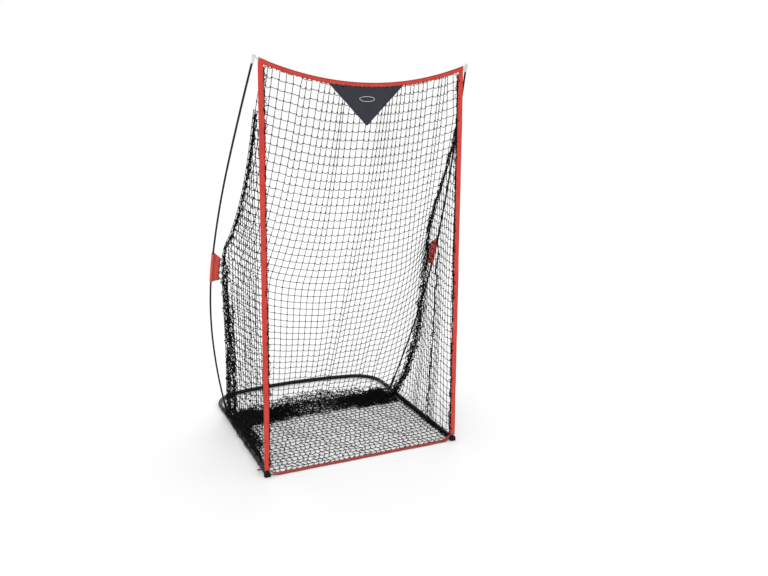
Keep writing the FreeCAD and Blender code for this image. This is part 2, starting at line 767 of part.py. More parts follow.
def back_net():
    """The net from the top sleeve down to the floor, with its slack lying inside."""
    inset = size("net_gap")
    levels = range(len(REAR_SEAM))
    columns = [
        [seam_point(i, -1, inset) for i in levels],
        [Vector(0, front + BACK_MIDDLE[i], REAR_SEAM[i][0]) for i in levels],
        [seam_point(i, 1, inset) for i in levels],
    ]
    behind = front - size("trim_lean") + size("trim_thick") / 2 + 2
    ends = size("top_trim_half") - 4
    corner_height = size("trim_top") - 24
    columns[0].append(Vector(-ends, behind, corner_height))
    columns[1].append(Vector(0, behind, size("top_sag_low") - 14))
    columns[2].append(Vector(ends, behind, corner_height))
    sheet_shape = panel(columns, Vector(0, size("net_thick"), 0))
    outline = [Vector(-SLACK_HALF_WIDTH, front + depth, height) for depth, height in SLACK_OUTLINE]
    slack = Part.Face(Part.makePolygon(outline + outline[:1])).extrude(Vector(2 * SLACK_HALF_WIDTH, 0, 0))
    return solid_feature("back_net_panel", sheet_shape.fuse(slack))


def floor_net():
    corner = Vector(-size("floor_net_half"), front + size("floor_net_front"), 0)
    return primitive(
        "Box", "floor_net_box", Placement(corner, FreeCAD.Rotation()),
        Length="2 * floor_net_half", Width="floor_net_rear - floor_net_front", Height="net_thick",
    )


pair(side_net(), "side_net")
node(back_net(), "back_net")
node(floor_net(), "floor_net")


# ---------------------------------------------------------------- border ropes
def route_wire(points):
    """Straight runs joined by tangent arcs, small enough to keep near their corners."""
    edges = []
    start = points[0]
    for before, corner, after in zip(points, points[1:], points[2:]):
        arrive = (corner - before).normalize()
        leave = (after - corner).normalize()
        turn = arrive.getAngle(leave)
        reach = CORNER_SHARE * min((corner - before).Length, (after - corner).Length)
        radius = reach / math.tan(turn / 2)
        first, second = corner - arrive * reach, corner + leave * reach
        bisector = (leave - arrive).normalize()
        middle = corner + bisector * (radius / math.cos(turn / 2) - radius)
        edges.append(Part.LineSegment(start, first).toShape())
        edges.append(Part.Arc(first, middle, second).toShape())
        start = second
    edges.append(Part.LineSegment(start, points[-1]).toShape())
    return Part.Wire(edges)


def rear_rope():
    """The border rope of the back net, from the opening's top corner to the rear strap."""
    outside = size("rope_diameter") / 2 + size("net_thick") + 1.5
    behind = size("rope_diameter") / 2 + 5
    levels = reversed(range(len(REAR_SEAM)))
    points = [seam_point(i, 1, -outside) + Vector(0, behind, 0) for i in levels]
    wire = route_wire(points)
    direction = (points[1] - points[0]).normalize()
    section = Part.Wire(Part.makeCircle(size("rope_diameter") / 2, points[0], direction))
    rope = wire.makePipeShell([section], True, False)
    expected = wire.Length * math.pi * (size("rope_diameter") / 2) ** 2
    print("border rope length", round(wire.Length), "volume ratio", round(rope.Volume / expected, 3))
    return solid_feature("rear_rope_tube", rope)


pair(rear_rope(), "rear_rope")

# ---------------------------------------------------------------- check and write
doc.recompute()
for obj in doc.Objects:
    if {"Invalid", "Error"} & set(obj.State):
        raise RuntimeError(f"{obj.Label} failed: {obj.State}")
os.makedirs("parts", exist_ok=True)
whole = FreeCAD.BoundBox()
for obj in nodes:
    shape = obj.Shape
    if shape.isNull() or not shape.isValid() or not shape.Solids:
        raise RuntimeError(f"{obj.Label} has no valid solid")
    if shape.Volume <= 0:
        raise RuntimeError(f"{obj.Label} is inside out")
    whole.add(shape.BoundBox)
    shape.exportStep(f"parts/{obj.Label}.step")
print(len(nodes), "sub-parts; box", whole)
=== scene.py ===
import math

import bpy
import numpy as np
from mathutils import Matrix, Vector


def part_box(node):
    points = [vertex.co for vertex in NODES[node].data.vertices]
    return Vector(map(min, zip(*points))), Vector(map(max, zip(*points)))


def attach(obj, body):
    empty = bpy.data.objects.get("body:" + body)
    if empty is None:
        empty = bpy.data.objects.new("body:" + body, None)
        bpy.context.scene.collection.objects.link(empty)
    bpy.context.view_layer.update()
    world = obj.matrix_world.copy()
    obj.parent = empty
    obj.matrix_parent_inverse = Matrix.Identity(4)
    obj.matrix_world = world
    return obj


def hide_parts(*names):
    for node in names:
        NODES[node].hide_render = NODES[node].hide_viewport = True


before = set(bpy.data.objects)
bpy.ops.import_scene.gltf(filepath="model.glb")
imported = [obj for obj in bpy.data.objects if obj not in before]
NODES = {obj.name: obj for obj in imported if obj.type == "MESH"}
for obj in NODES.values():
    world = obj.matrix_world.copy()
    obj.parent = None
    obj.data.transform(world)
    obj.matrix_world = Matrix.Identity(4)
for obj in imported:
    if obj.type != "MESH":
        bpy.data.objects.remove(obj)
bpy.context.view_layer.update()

# Portable catch net: a knotted net bag with red cloth edges, hung between two bowed poles that
# stand on a U of black tubes. Metres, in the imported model's frame: X across, +Y to the rear, Z up.

BODY = "frame"
UP = np.array([0.0, 0.0, 1.0])

# ---------------------------------------------------------------- places that the net hangs from
FRONT = -0.720            # the plane through the opening's foot
TRIM_FOOT_OUT, TRIM_FOOT = 0.640, 0.039
TRIM_TOP_OUT, TRIM_TOP = 0.612, 2.402
TRIM_LEAN = 0.030         # how far the opening leans forward at the top
TRIM_WIDTH, TRIM_THICK = 0.038, 0.005
TOP_RADIUS, TOP_LOW, TOP_DEPTH, TOP_HALF = 1.780, 2.292, 0.025, 0.594
CORNER_LAP = 0.030        # how far the top sleeve runs across each side sleeve
TUBE_RADIUS, TUBE_HEIGHT = 0.014, 0.016
RAIL_SPLAY = math.radians(0.86)
HEM_HEIGHT, HEM_INWARD, HEM_RADIUS = 0.0280, 0.0115, 0.0023   # beside the snap buttons
RAIL_END = 1.190          # where the straight run behind each rail starts to bend
# The net's rear corner seam: height, distance from the middle, distance behind the front plane.
REAR_SEAM = np.array([
    (0.038, 0.664, 0.940), (0.250, 0.690, 0.792), (0.620, 0.710, 0.646), (1.090, 0.730, 0.592),
    (1.300, 0.727, 0.556), (1.410, 0.692, 0.468), (1.540, 0.672, 0.368), (1.670, 0.660, 0.268),
    (1.820, 0.652, 0.168), (1.990, 0.645, 0.078), (2.150, 0.638, 0.012),
])
# The back net in the middle of its width, at the same heights.
BACK_MIDDLE = np.array([1.055, 0.900, 0.690, 0.480, 0.385, 0.330, 0.265, 0.200, 0.135, 0.072, 0.018])
ROPE_OUT, ROPE_BEHIND, ROPE_DIAMETER = 0.006, 0.0075, 0.005

# ---------------------------------------------------------------- the netting
MESH = 0.050              # knot to knot
CORD_RADIUS = 0.0019
KNOT_RADIUS = 0.0042
BACK_COLUMNS = 41
BAR_WIDTH = 0.042         # the back net's bars across, between its columns
HUNG_ROWS = 53            # rows from the top sleeve to the floor
SLACK_ROWS = 19           # rows that lie on the floor
SIDE_FULLNESS = 1.42      # side net cloth per metre of opening depth
FLOOR_COLUMNS, FLOOR_ROWS = 36, 22
# Where each side net falls into a pleat: distance from the middle, behind the front plane, height.
PLEATS = {
    "right": [(0.652, 0.39, 0.05), (0.664, 0.34, 0.70), (0.652, 0.27, 1.40)],
    "left": [(-0.664, 0.66, 0.05), (-0.700, 0.56, 0.60), (-0.722, 0.54, 1.10)],
}


# ================================================================ materials
def surface(name, dark, light, rough, metallic=0.0, specular=0.5, mottle=30.0, grain=700.0, grain_depth=0.0,
            stretch=(1, 1, 1), weave=0.0, twist=0, wear=None, coat=0.0, sheen=0.0, glow=0.0):
    """A procedural material: mottled colour, uneven roughness, and a relief of grain, weave or cord lay."""
    material = bpy.data.materials.new(name)
    material.use_nodes = True
    tree = material.node_tree
    tree.nodes.clear()

    def add(kind, **inputs):
        made = tree.nodes.new(f"ShaderNode{kind}")
        for key, value in inputs.items():
            socket = made.inputs[key.replace("_", " ")]
            if isinstance(value, bpy.types.NodeSocket):
                tree.links.new(value, socket)
            else:
                socket.default_value = value
        return made

    def math_node(operation, *values):
        made = tree.nodes.new("ShaderNodeMath")
        made.operation = operation
        for socket, value in zip(made.inputs, values):
            if isinstance(value, bpy.types.NodeSocket):
                tree.links.new(value, socket)
            else:
                socket.default_value = value
        return made.outputs[0]

    def mixed(factor, first, second):
        made = tree.nodes.new("ShaderNodeMix")
        made.data_type = "RGBA"
        tree.links.new(factor, made.inputs[0])
        for socket, value in ((made.inputs[6], first), (made.inputs[7], second)):
            if isinstance(value, bpy.types.NodeSocket):
                tree.links.new(value, socket)
            else:
                socket.default_value = (*value, 1)
        return made.outputs[2]

    place = add("TexCoord").outputs["Object"]
    mapped = add("Mapping", Vector=place, Scale=stretch).outputs[0]
    patches = add("TexNoise", Vector=mapped, Scale=mottle, Detail=4.0).outputs["Fac"]
    specks = add("TexNoise", Vector=mapped, Scale=grain, Detail=3.0).outputs["Fac"]
    colour = mixed(math_node("MULTIPLY_ADD", patches, 1.6, -0.3), dark, light)
    relief = specks
    if weave:
        threads = []
        for direction in "XYZ":
            wave = add("TexWave", Vector=place, Scale=1 / (weave * 2 * math.pi) * math.pi, Distortion=0.4)
            wave.bands_direction = direction
            threads.append(wave.outputs["Fac"])
        woven = math_node("MAXIMUM", math_node("MAXIMUM", threads[0], threads[1]), threads[2])
        relief = math_node("MULTIPLY_ADD", woven, 0.8, math_node("MULTIPLY", specks, 0.2))
        colour = mixed(math_node("MULTIPLY", woven, 0.22), colour, dark)
    if twist:
        own = tree.nodes.new("ShaderNodeUVMap")
        own.uv_map = "strand"
        parts = add("SeparateXYZ", Vector=own.outputs[0])
        turn = math_node("ADD", math_node("MULTIPLY", parts.outputs[0], 2 * math.pi / 0.0028),
                         math_node("MULTIPLY", parts.outputs[1], 2 * math.pi * twist))
        ridge = math_node("MULTIPLY_ADD", math_node("SINE", turn), 0.5, 0.5)
        relief = math_node("ADD", math_node("MULTIPLY", ridge, 0.7), math_node("MULTIPLY", specks, 0.3))
        # painted shade and highlight: the grooves between the cord's strands are darker and the raised crowns lighter
        colour = mixed(math_node("MULTIPLY", ridge, 0.5), colour, light)
    if wear:
        scuffs = add("TexNoise", Vector=place, Scale=55.0, Detail=8.0, Roughness=0.7).outputs["Fac"]
        worn = math_node("GREATER_THAN", scuffs, 0.66)
        colour = mixed(math_node("MULTIPLY", worn, 0.5), colour, wear)
    roughness = math_node("MULTIPLY_ADD", specks, 0.16, rough - 0.08)
    bump = add("Bump", Height=relief, Strength=0.6, Distance=grain_depth or 0.0001)
    shader = add("BsdfPrincipled", Base_Color=colour, Roughness=roughness, Metallic=metallic,
                 Specular_IOR_Level=specular, Coat_Weight=coat, Coat_Roughness=0.25,
                 Sheen_Weight=sheen, Sheen_Roughness=0.5, Subsurface_Weight=glow,
                 Normal=bump.outputs[0])
    output = tree.nodes.new("ShaderNodeOutputMaterial")
    tree.links.new(shader.outputs[0], output.inputs[0])
    return material


PAINT = surface("painted_tube", (0.004, 0.004, 0.0045), (0.008, 0.008, 0.0085), 0.40, specular=0.22, mottle=14.0,
                grain=900.0, grain_depth=0.00012, wear=(0.040, 0.040, 0.042))
STEEL = surface("zinc_steel", (0.42, 0.42, 0.43), (0.62, 0.62, 0.63), 0.34, metallic=1.0, mottle=80.0,
                grain=1600.0, stretch=(1, 1, 0.08))
RUBBER = surface("foot_rubber", (0.005, 0.005, 0.005), (0.010, 0.010, 0.010), 0.78, specular=0.15, mottle=60.0,
                 grain=1300.0, grain_depth=0.0002)
POLE = surface("fibreglass_pole", (0.004, 0.004, 0.0045), (0.008, 0.008, 0.0085), 0.36, specular=0.2, mottle=90.0, grain=1500.0,
               stretch=(1, 1, 0.03), grain_depth=0.00008, coat=0.1)
ALLOY = surface("splice_alloy", (0.55, 0.55, 0.57), (0.75, 0.75, 0.77), 0.35, metallic=1.0, grain=1500.0,
                stretch=(1, 1, 0.05))
TIP = surface("tip_plastic", (0.60, 0.60, 0.61), (0.80, 0.80, 0.80), 0.36, mottle=70.0, grain=500.0, glow=0.15,
              wear=(0.42, 0.42, 0.42))
NET_CORD = surface("net_cord", (0.002, 0.002, 0.0024), (0.009, 0.009, 0.010), 0.85, specular=0.05, mottle=25.0,
                   grain=2500.0, grain_depth=0.00025, twist=3)
ROPE = surface("border_rope", (0.003, 0.003, 0.0035), (0.012, 0.012, 0.013), 0.8, specular=0.08, grain=2500.0,
               grain_depth=0.0003, twist=3)
PALE_CORD = surface("pale_cord", (0.46, 0.46, 0.45), (0.72, 0.72, 0.70), 0.8, specular=0.3, grain=2500.0,
                    grain_depth=0.0003, twist=3)
RED = surface("red_cloth", (0.46, 0.028, 0.019), (0.66, 0.058, 0.040), 0.68, specular=0.3, mottle=18.0,
              grain=1500.0, grain_depth=0.00025, weave=0.0012, sheen=0.15)
# The red cloth with painted shade: a darker copy of red_cloth, used for the sleeve on the floor, the top sleeve's
# folded hem and the pole sleeves' bindings.
RED_SHADED = surface("red_cloth_painted_shade", (0.27, 0.022, 0.018), (0.38, 0.040, 0.034), 0.72, specular=0.25, mottle=18.0,
                   grain=1500.0, grain_depth=0.00025, weave=0.0012, sheen=0.1)
SLEEVE_RED = surface("sleeve_cloth", (0.56, 0.060, 0.045), (0.78, 0.120, 0.090), 0.66, specular=0.3, mottle=25.0,
                     grain=1500.0, grain_depth=0.00025, weave=0.0012, sheen=0.2)
RED_THREAD = surface("red_thread", (0.36, 0.016, 0.012), (0.50, 0.030, 0.024), 0.75, grain=2500.0, twist=3)
PENNANT = surface("pennant_cloth", (0.012, 0.013, 0.020), (0.030, 0.032, 0.048), 0.72, specular=0.3, mottle=150.0,
                  grain=1500.0, grain_depth=0.00025, weave=0.0011, sheen=0.2)
PIPING = surface("pennant_piping", (0.008, 0.008, 0.012), (0.018, 0.018, 0.026), 0.75, grain=2000.0, twist=3)
LABEL = surface("pennant_patch", (0.62, 0.62, 0.62), (0.80, 0.80, 0.80), 0.7, grain=2000.0, weave=0.0009)
WEBBING = surface("strap_webbing", (0.004, 0.004, 0.0045), (0.012, 0.012, 0.013), 0.78, specular=0.1,
                  grain=1800.0, grain_depth=0.0003, weave=0.0016)
FLOOR = surface("studio_floor", (0.88, 0.88, 0.88), (0.92, 0.92, 0.92), 0.9, specular=0.1, mottle=0.6, grain=40.0)


# ================================================================ mesh building
def unit(vectors):
    return vectors / np.maximum(np.linalg.norm(vectors, axis=-1, keepdims=True), 1e-9)


def circle(sides):
    angles = np.arange(sides) * 2 * math.pi / sides
    return np.stack([np.cos(angles), np.sin(angles)], axis=1)


def flat_outline(sides=20, square=0.45):
    """A flattened tube's cross-section: a rounded rectangle in unit half sizes."""
    base = circle(sides)
    return np.sign(base) * np.abs(base) ** square


class Piece:
    """Collects lofts for one object, then makes it, with its lengths in the strand coordinates."""

    def __init__(self, name, material, slot, replaced=()):
        self.name, self.material, self.slot, self.replaced = name, material, slot, replaced
        self.vertices, self.faces, self.strand, self.count = [], [], [], 0

    def grid(self, rings, closed=False):
        """Rings of points, as paths by steps by outline, joined into tubes with capped ends."""
        paths, steps, sides = rings.shape[:3]
        index = self.count + np.arange(paths * steps * sides).reshape(paths, steps, sides)
        self.vertices.append(rings.reshape(-1, 3))
        self.count += rings.shape[0] * steps * sides
        ahead = np.roll(index, -1, axis=1) if closed else index[:, 1:]
        behind = index if closed else index[:, :-1]
        quads = np.stack([behind, np.roll(behind, -1, axis=2), np.roll(ahead, -1, axis=2), ahead], axis=-1)
        middles = rings.mean(axis=2)
        gaps = np.linalg.norm(np.diff(middles, axis=1), axis=-1)
        run = np.concatenate([np.zeros((paths, 1)), np.cumsum(gaps, axis=1)], axis=1)
        if closed:
            run = np.concatenate([run, run[:, -1:] + gaps[:, :1]], axis=1)
        u0, u1 = run[:, :-1, None], run[:, 1:, None]
        v0 = (np.arange(sides) / sides)[None, None, :]
        v1 = v0 + 1 / sides
        corners = [np.stack(np.broadcast_arrays(u, v), axis=-1) for u, v in ((u0, v0), (u0, v1), (u1, v1), (u1, v0))]
        self.faces += quads.reshape(-1, 4).tolist()
        self.strand.append(np.stack(corners, axis=-2).reshape(-1, 2))
        if not closed:
            for cap in (index[:, 0, ::-1], index[:, -1]):
                self.faces += cap.tolist()
                self.strand.append(np.zeros((paths * sides, 2)))

    def tubes(self, paths, radius, sides=5, closed=False):
        """Round cord along each path."""
        paths = np.asarray(paths, float)
        if paths.ndim == 2:
            paths = paths[None]
        if closed:
            ahead = np.roll(paths, -1, axis=1) - np.roll(paths, 1, axis=1)
        else:
            ahead = np.gradient(paths, axis=1)
        ahead = unit(ahead)
        chord = unit(np.abs(ahead).mean(axis=1))
        least = np.eye(3)[np.argmin(chord, axis=1)][:, None, :]
        across = unit(least - ahead * (ahead * least).sum(-1, keepdims=True))
        through = np.cross(ahead, across)
        outline = circle(sides)
        size = np.broadcast_to(np.asarray(radius, float), paths.shape[:2])[..., None, None]
        rings = (paths[:, :, None] + across[:, :, None] * outline[:, :1] * size
                 + through[:, :, None] * outline[:, 1:] * size)
        self.grid(rings, closed)

    def band(self, path, across, half_width, half_thick, outline=None, closed=False, ripple=None):
        """A flat strip along one path; across points along its width."""
        path, across = np.asarray(path, float), np.asarray(across, float)
        ahead = unit(np.roll(path, -1, axis=0) - np.roll(path, 1, axis=0) if closed else np.gradient(path, axis=0))
        across = np.broadcast_to(across, path.shape)
        across = unit(across - ahead * (ahead * across).sum(-1, keepdims=True))
        through = np.cross(ahead, across)
        outline = flat_outline() if outline is None else outline
        wide = np.broadcast_to(half_width, path.shape[:1])[:, None, None]
        thick = np.broadcast_to(half_thick, path.shape[:1])[:, None, None]
        rings = (path[:, None] + across[:, None] * outline[None, :, :1] * wide
                 + through[:, None] * outline[None, :, 1:] * thick)
        if ripple is not None:
            rings = rings + through[:, None] * ripple(outline[None, :, 0], path[:, None, :])[..., None]
        self.grid(rings[None], closed)

    def knots(self, centres, radius, seed, rings=4, sides=8):
        """Lumps with twisted ridges, each turned its own way."""
        draw = np.random.default_rng(seed)
        polar = np.linspace(0.25, math.pi - 0.25, rings)
        around = np.arange(sides) * 2 * math.pi / sides
        lobes = 1 + 0.2 * np.cos(2 * around[None, :] + 2.4 * polar[:, None])
        shape = np.stack([
            np.sin(polar)[:, None] * np.cos(around) * lobes,
            np.sin(polar)[:, None] * np.sin(around) * lobes,
            np.broadcast_to(np.cos(polar)[:, None] * 1.15, lobes.shape),
        ], axis=-1)
        count = len(centres)
        z_axis = unit(draw.normal(size=(count, 3)))
        x_axis = unit(np.cross(z_axis, draw.normal(size=(count, 3))))
        turned = np.stack([x_axis, np.cross(z_axis, x_axis), z_axis], axis=1)
        sizes = radius * draw.uniform(0.85, 1.15, count)[:, None, None, None]
        lumps = np.einsum("rsk,nkj->nrsj", shape, turned) * sizes + centres[:, None, None]
        lumps[..., 2] = np.maximum(lumps[..., 2], 0.0002)
        self.grid(lumps)

    def make(self, smooth=True):
        data = bpy.data.meshes.new(self.name)
        data.from_pydata(np.concatenate(self.vertices), [], self.faces)
        data.polygons.foreach_set("use_smooth", [smooth] * len(data.polygons))
        layer = data.uv_layers.new(name="strand")
        layer.data.foreach_set("uv", np.concatenate(self.strand).astype(np.float32).ravel())
        data.materials.append(self.material)
        data.update()
        made = bpy.data.objects.new(self.name, data)
        bpy.context.scene.collection.objects.link(made)
        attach(made, BODY)
        if self.replaced:
            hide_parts(*self.replaced)
        return made


def wander(along, seed, longest, count=4):
    """A smooth seeded wave between about -1 and 1, from a few sines."""
    draw = np.random.default_rng(seed)
    total = np.zeros_like(np.asarray(along, float))
    for i in range(count):
        total += math.pow(0.7, i) * np.sin(along * 2 * math.pi * 1.7 ** i / longest + draw.uniform(0, 2 * math.pi))
    return total / 2.0


def resample(points, spacing):
    """Evenly spaced points along a route of straight runs."""
    points = np.asarray(points, float)
    run = np.concatenate([[0], np.cumsum(np.linalg.norm(np.diff(points, axis=0), axis=1))])
    steps = np.linspace(0, run[-1], max(3, int(run[-1] / spacing) + 1))
    return np.stack([np.interp(steps, run, points[:, axis]) for axis in range(3)], axis=1)


# ================================================================ where things are
def lean(height):
    return TRIM_LEAN * height / TRIM_TOP


def trim_out(height):
    share = (height - TRIM_FOOT) / (TRIM_TOP - TRIM_FOOT)
    return TRIM_FOOT_OUT + (TRIM_TOP_OUT - TRIM_FOOT_OUT) * share


def seam(height, side=1, inset=0.0):
    """The rear corner seam of one side; above it, the line down the side sleeve from the top corner."""
    height = np.asarray(height, float)
    across = np.interp(height, REAR_SEAM[:, 0], REAR_SEAM[:, 1])
    depth = np.interp(height, REAR_SEAM[:, 0], REAR_SEAM[:, 2])
    above = height > REAR_SEAM[-1, 0]
    rise = np.clip((height - REAR_SEAM[-1, 0]) / (TRIM_TOP - REAR_SEAM[-1, 0]), 0, 1)
    across = np.where(above, across + (TOP_HALF - 0.004 - across) * rise, across)
    depth = np.where(above, depth + (-0.022 - depth) * rise, depth)
    return np.stack([side * (across - inset), FRONT + depth, height], axis=-1)


def top_curve(across, drop=0.0):
    """The top sleeve's middle line, or one that runs lower or higher beside it."""
    across = np.asarray(across, float)
    height = TOP_LOW + TOP_RADIUS - np.sqrt(TOP_RADIUS ** 2 - across ** 2) - drop
    return np.stack([across, np.full_like(across, FRONT - lean(TOP_LOW)), height], axis=-1)


def rail_point(depth, side, out=0.0, up=0.0):
    across = TRIM_FOOT_OUT + depth * math.tan(RAIL_SPLAY) + out
    return np.array([side * across, FRONT + depth, TUBE_HEIGHT + up])


def hem_point(depth, side):
    """The cord that the side net's last knots are tied to; it lies along the rail's inner shoulder."""
    return rail_point(depth, side, out=-HEM_INWARD, up=HEM_HEIGHT - TUBE_HEIGHT)


def pole_middle(side, low, high, count):
    """Points along a pole's middle between two heights, read from the CAD sections' own rings."""
    middles = []
    for number in (2, 3):
        section = NODES[f"{side}_pole_section_{number}"]
        points = np.array([v.co for v in section.data.vertices])
        chord = points[points[:, 2].argmax()] - points[points[:, 2].argmin()]
        place = points @ (chord / np.linalg.norm(chord))
        order = np.argsort(place)
        for group in np.split(order, np.flatnonzero(np.diff(place[order]) > 0.003) + 1):
            middles.append(points[group].mean(axis=0))
    middles = np.array(middles)
    heights = np.linspace(low, high, count)
    fits = [np.polyfit(middles[:, 2], middles[:, axis], 3) for axis in (0, 1)]
    return np.stack([np.polyval(fits[0], heights), np.polyval(fits[1], heights), heights], axis=1)


# ================================================================ hanging the net
def settle(points, held, links, rest, steps=150, passes=10, floor=0.0032):
    """Lets a knotted net hang. Strands only resist being stretched, and the floor carries it."""
    first, second = links[:, 0], links[:, 1]
    count = len(points)
    valence = np.bincount(links.ravel(), minlength=count)
    share = (1.7 / np.maximum(valence, 1))[:, None]
    free = ~held
    place, speed = points.copy(), np.zeros_like(points)
    for _ in range(steps):
        speed *= 0.93
        speed[:, 2] -= 0.00015
        speed[place[:, 2] < floor + 0.004, :2] *= 0.1
        before = place.copy()
        place[free] += speed[free]
        for _ in range(passes):
            gap = place[second] - place[first]
            length = np.maximum(np.linalg.norm(gap, axis=1), 1e-9)
            pull = gap * (np.maximum(length - rest, 0) / length)[:, None]
            moved = np.stack([
                np.bincount(first, pull[:, axis], count) - np.bincount(second, pull[:, axis], count)
                for axis in range(3)
            ], axis=1) * share
            place[free] += moved[free]
            place[:, 2] = np.maximum(place[:, 2], floor)
        speed = place - before
    return place


def strands(points, links, rest, seed, stray=0.35, ground=0.0016):
    """A curved path for every strand, bowed by its own spare length: down where it hangs, aside on the floor."""
    draw = np.random.default_rng(seed)
    start, end = points[links[:, 0]], points[links[:, 1]]
    chord = end - start
    length = np.linalg.norm(chord, axis=1)
    spare = np.maximum(rest * 1.004 - length, 0)
    bow = np.minimum(np.sqrt(3 * length * spare / 8), 0.021)
    ahead = unit(chord)
    down = -UP - ahead * (ahead @ -UP)[:, None]
    aside = np.cross(ahead, UP)
    resting = ((start[:, 2] + end[:, 2]) / 2 < 0.012)[:, None]
    jitter = draw.normal(size=chord.shape) * stray
    jitter -= ahead * (jitter * ahead).sum(1, keepdims=True)
    lean_to = np.where(resting, aside + jitter * 0.5, down + jitter)
    lean_to = unit(lean_to)
    shares = np.linspace(0, 1, 5)
    paths = start[:, None] + chord[:, None] * shares[None, :, None]
    paths = paths + (lean_to * bow[:, None])[:, None] * (4 * shares * (1 - shares))[None, :, None]
    paths[..., 2] = np.maximum(paths[..., 2], ground)
    return clear_of_rails(paths)


def clear_of_rails(points, gap=CORD_RADIUS):
    """Moves net that would run through a rail onto the tube's surface, or inwards beside its lower half."""
    depth, side = points[..., 1] - FRONT, np.sign(points[..., 0])
    middle = side * (TRIM_FOOT_OUT + depth * math.tan(RAIL_SPLAY))
    away = np.stack([points[..., 0] - middle, points[..., 2] - TUBE_HEIGHT], axis=-1)
    distance = np.linalg.norm(away, axis=-1)
    reach = TUBE_RADIUS + gap + 0.0003
    inside = (distance < reach) & (depth > 0.0) & (depth < RAIL_END)
    scale = reach / np.maximum(distance, 1e-6)
    lower = away[..., 1] < 0
    beside = -side * np.sqrt(np.maximum(reach ** 2 - away[..., 1] ** 2, 0))
    moved = points.copy()
    moved[..., 0] = np.where(inside, middle + np.where(lower, beside, away[..., 0] * scale), points[..., 0])
    moved[..., 2] = np.where(inside & ~lower, TUBE_HEIGHT + away[..., 1] * scale, points[..., 2])
    return moved


def grid_links(rows, columns):
    index = np.arange(rows * columns).reshape(rows, columns)
    along = np.stack([index[:, :-1], index[:, 1:]], axis=-1).reshape(-1, 2)
    down = np.stack([index[:-1], index[1:]], axis=-1).reshape(-1, 2)
    return np.concatenate([along, down])


def back_net():
    """The tall net: held at the top sleeve and the rear seams, with its last rows piled on the floor."""
    draw = np.random.default_rng(11)
    rows, columns = HUNG_ROWS + SLACK_ROWS, BACK_COLUMNS
    # the columns are drawn together unevenly along the top sleeve
    spacing = 1 + 0.42 * wander(np.arange(columns - 1) / 6.0, 5, 2.1) + draw.uniform(-0.32, 0.32, columns - 1)
    spacing *= np.interp(np.arange(columns - 1), [0, 14, 24, columns - 2], [1.25, 0.95, 0.8, 1.05])
    share_top = np.concatenate([[0], np.cumsum(spacing)]) / spacing.sum()
    share_low = np.linspace(0, 1, columns)
    heights = np.linspace(REAR_SEAM[0, 0], TRIM_TOP - 0.012, 200)[::-1]
    side_route = seam(heights, 1)
    side_run = np.concatenate([[0], np.cumsum(np.linalg.norm(np.diff(side_route, axis=0), axis=1))])
    middle_route = np.stack([
        np.zeros(len(BACK_MIDDLE) + 1),
        FRONT + np.append(BACK_MIDDLE, -0.026),
        np.append(REAR_SEAM[:, 0], TOP_LOW - TOP_DEPTH / 2),
    ], axis=1)[::-1]
    middle_run = np.concatenate([[0], np.cumsum(np.linalg.norm(np.diff(middle_route, axis=0), axis=1))])
    points = np.zeros((rows, columns, 3))
    for row in range(rows):
        down = min(row / (HUNG_ROWS - 1), 1)
        share = share_top + (share_low - share_top) * min(down * 1.6, 0.62)
        wing = 2 * share - 1
        edge = np.array([np.interp(down * side_run[-1], side_run, side_route[:, axis]) for axis in range(3)])
        centre = np.array([np.interp(down * middle_run[-1], middle_run, middle_route[:, axis]) for axis in range(3)])
        pull = np.abs(wing) ** 1.25
        points[row, :, 0] = wing * edge[0]
        points[row, :, 1] = centre[1] + (edge[1] - centre[1]) * pull
        points[row, :, 2] = centre[2] + (edge[2] - centre[2]) * pull
        if row == 0:
            points[row] = top_curve(wing * (TOP_HALF - 0.006), TOP_DEPTH / 2 - 0.004)
            points[row, :, 1] += 0.004
        elif row < HUNG_ROWS:
            fold = wander(share * 9 + down * 0.8, 21, 1.6) * 0.022 + wander(share * 5 - down * 2.2, 22, 2.2) * 0.014
            points[row, :, 1] += fold * np.clip((1 - pull) * 4, 0, 1) * min(row / 4, 1)
            points[row, 1:-1, 0] += draw.normal(0, 0.0034, columns - 2)
            points[row, 1:-1, 2] += draw.normal(0, 0.0022, columns - 2)
        else:
            lying = row - HUNG_ROWS + 1
            turns = [0, 6, 12, 19]
            depths = np.interp(lying, turns, [1.100, 0.795, 1.150, 0.815])
            depths -= 0.10 * pull * np.interp(lying, turns, [1.2, 0.2, 1.6, 0.3])
            depths += 0.012 * wander(share * 7 + lying, 23, 1.9)
            pile = np.interp(depths, [0.78, 0.90, 1.00, 1.06], [0.004, 0.024, 0.040, 0.044])
            points[row, :, 0] = wing * (0.63 - 0.002 * lying) + draw.normal(0, 0.010, columns)
            points[row, :, 1] = FRONT + depths + draw.normal(0, 0.010, columns)
            points[row, :, 2] = 0.004 + pile * (0.3 + 0.7 * lying / SLACK_ROWS) + np.abs(draw.normal(0, 0.005, columns))
    held = np.zeros((rows, columns), bool)
    held[0] = True
    held[:HUNG_ROWS, 0] = held[:HUNG_ROWS, -1] = True
    held[HUNG_ROWS:] = True
    links = grid_links(rows, columns)
    rests = np.where(links[:, 1] - links[:, 0] == 1, BAR_WIDTH, MESH)
    flat = points.reshape(-1, 3)
    settled = settle(flat, held.ravel(), links, rests)
    lying = (links >= HUNG_ROWS * columns).any(axis=1)
    for name, chosen, replaced in (("back_net_cords", ~lying, ["back_net"]), ("back_net_slack_cords", lying, [])):
        cords = Piece(name, NET_CORD, "net_cord", replaced)
        cords.tubes(strands(settled, links[chosen], rests[chosen], 31), CORD_RADIUS)
        cords.make()
    lumps = Piece("back_net_knots", NET_CORD, "net_cord")
    lumps.knots(settled, KNOT_RADIUS, 32)
    lumps.make()


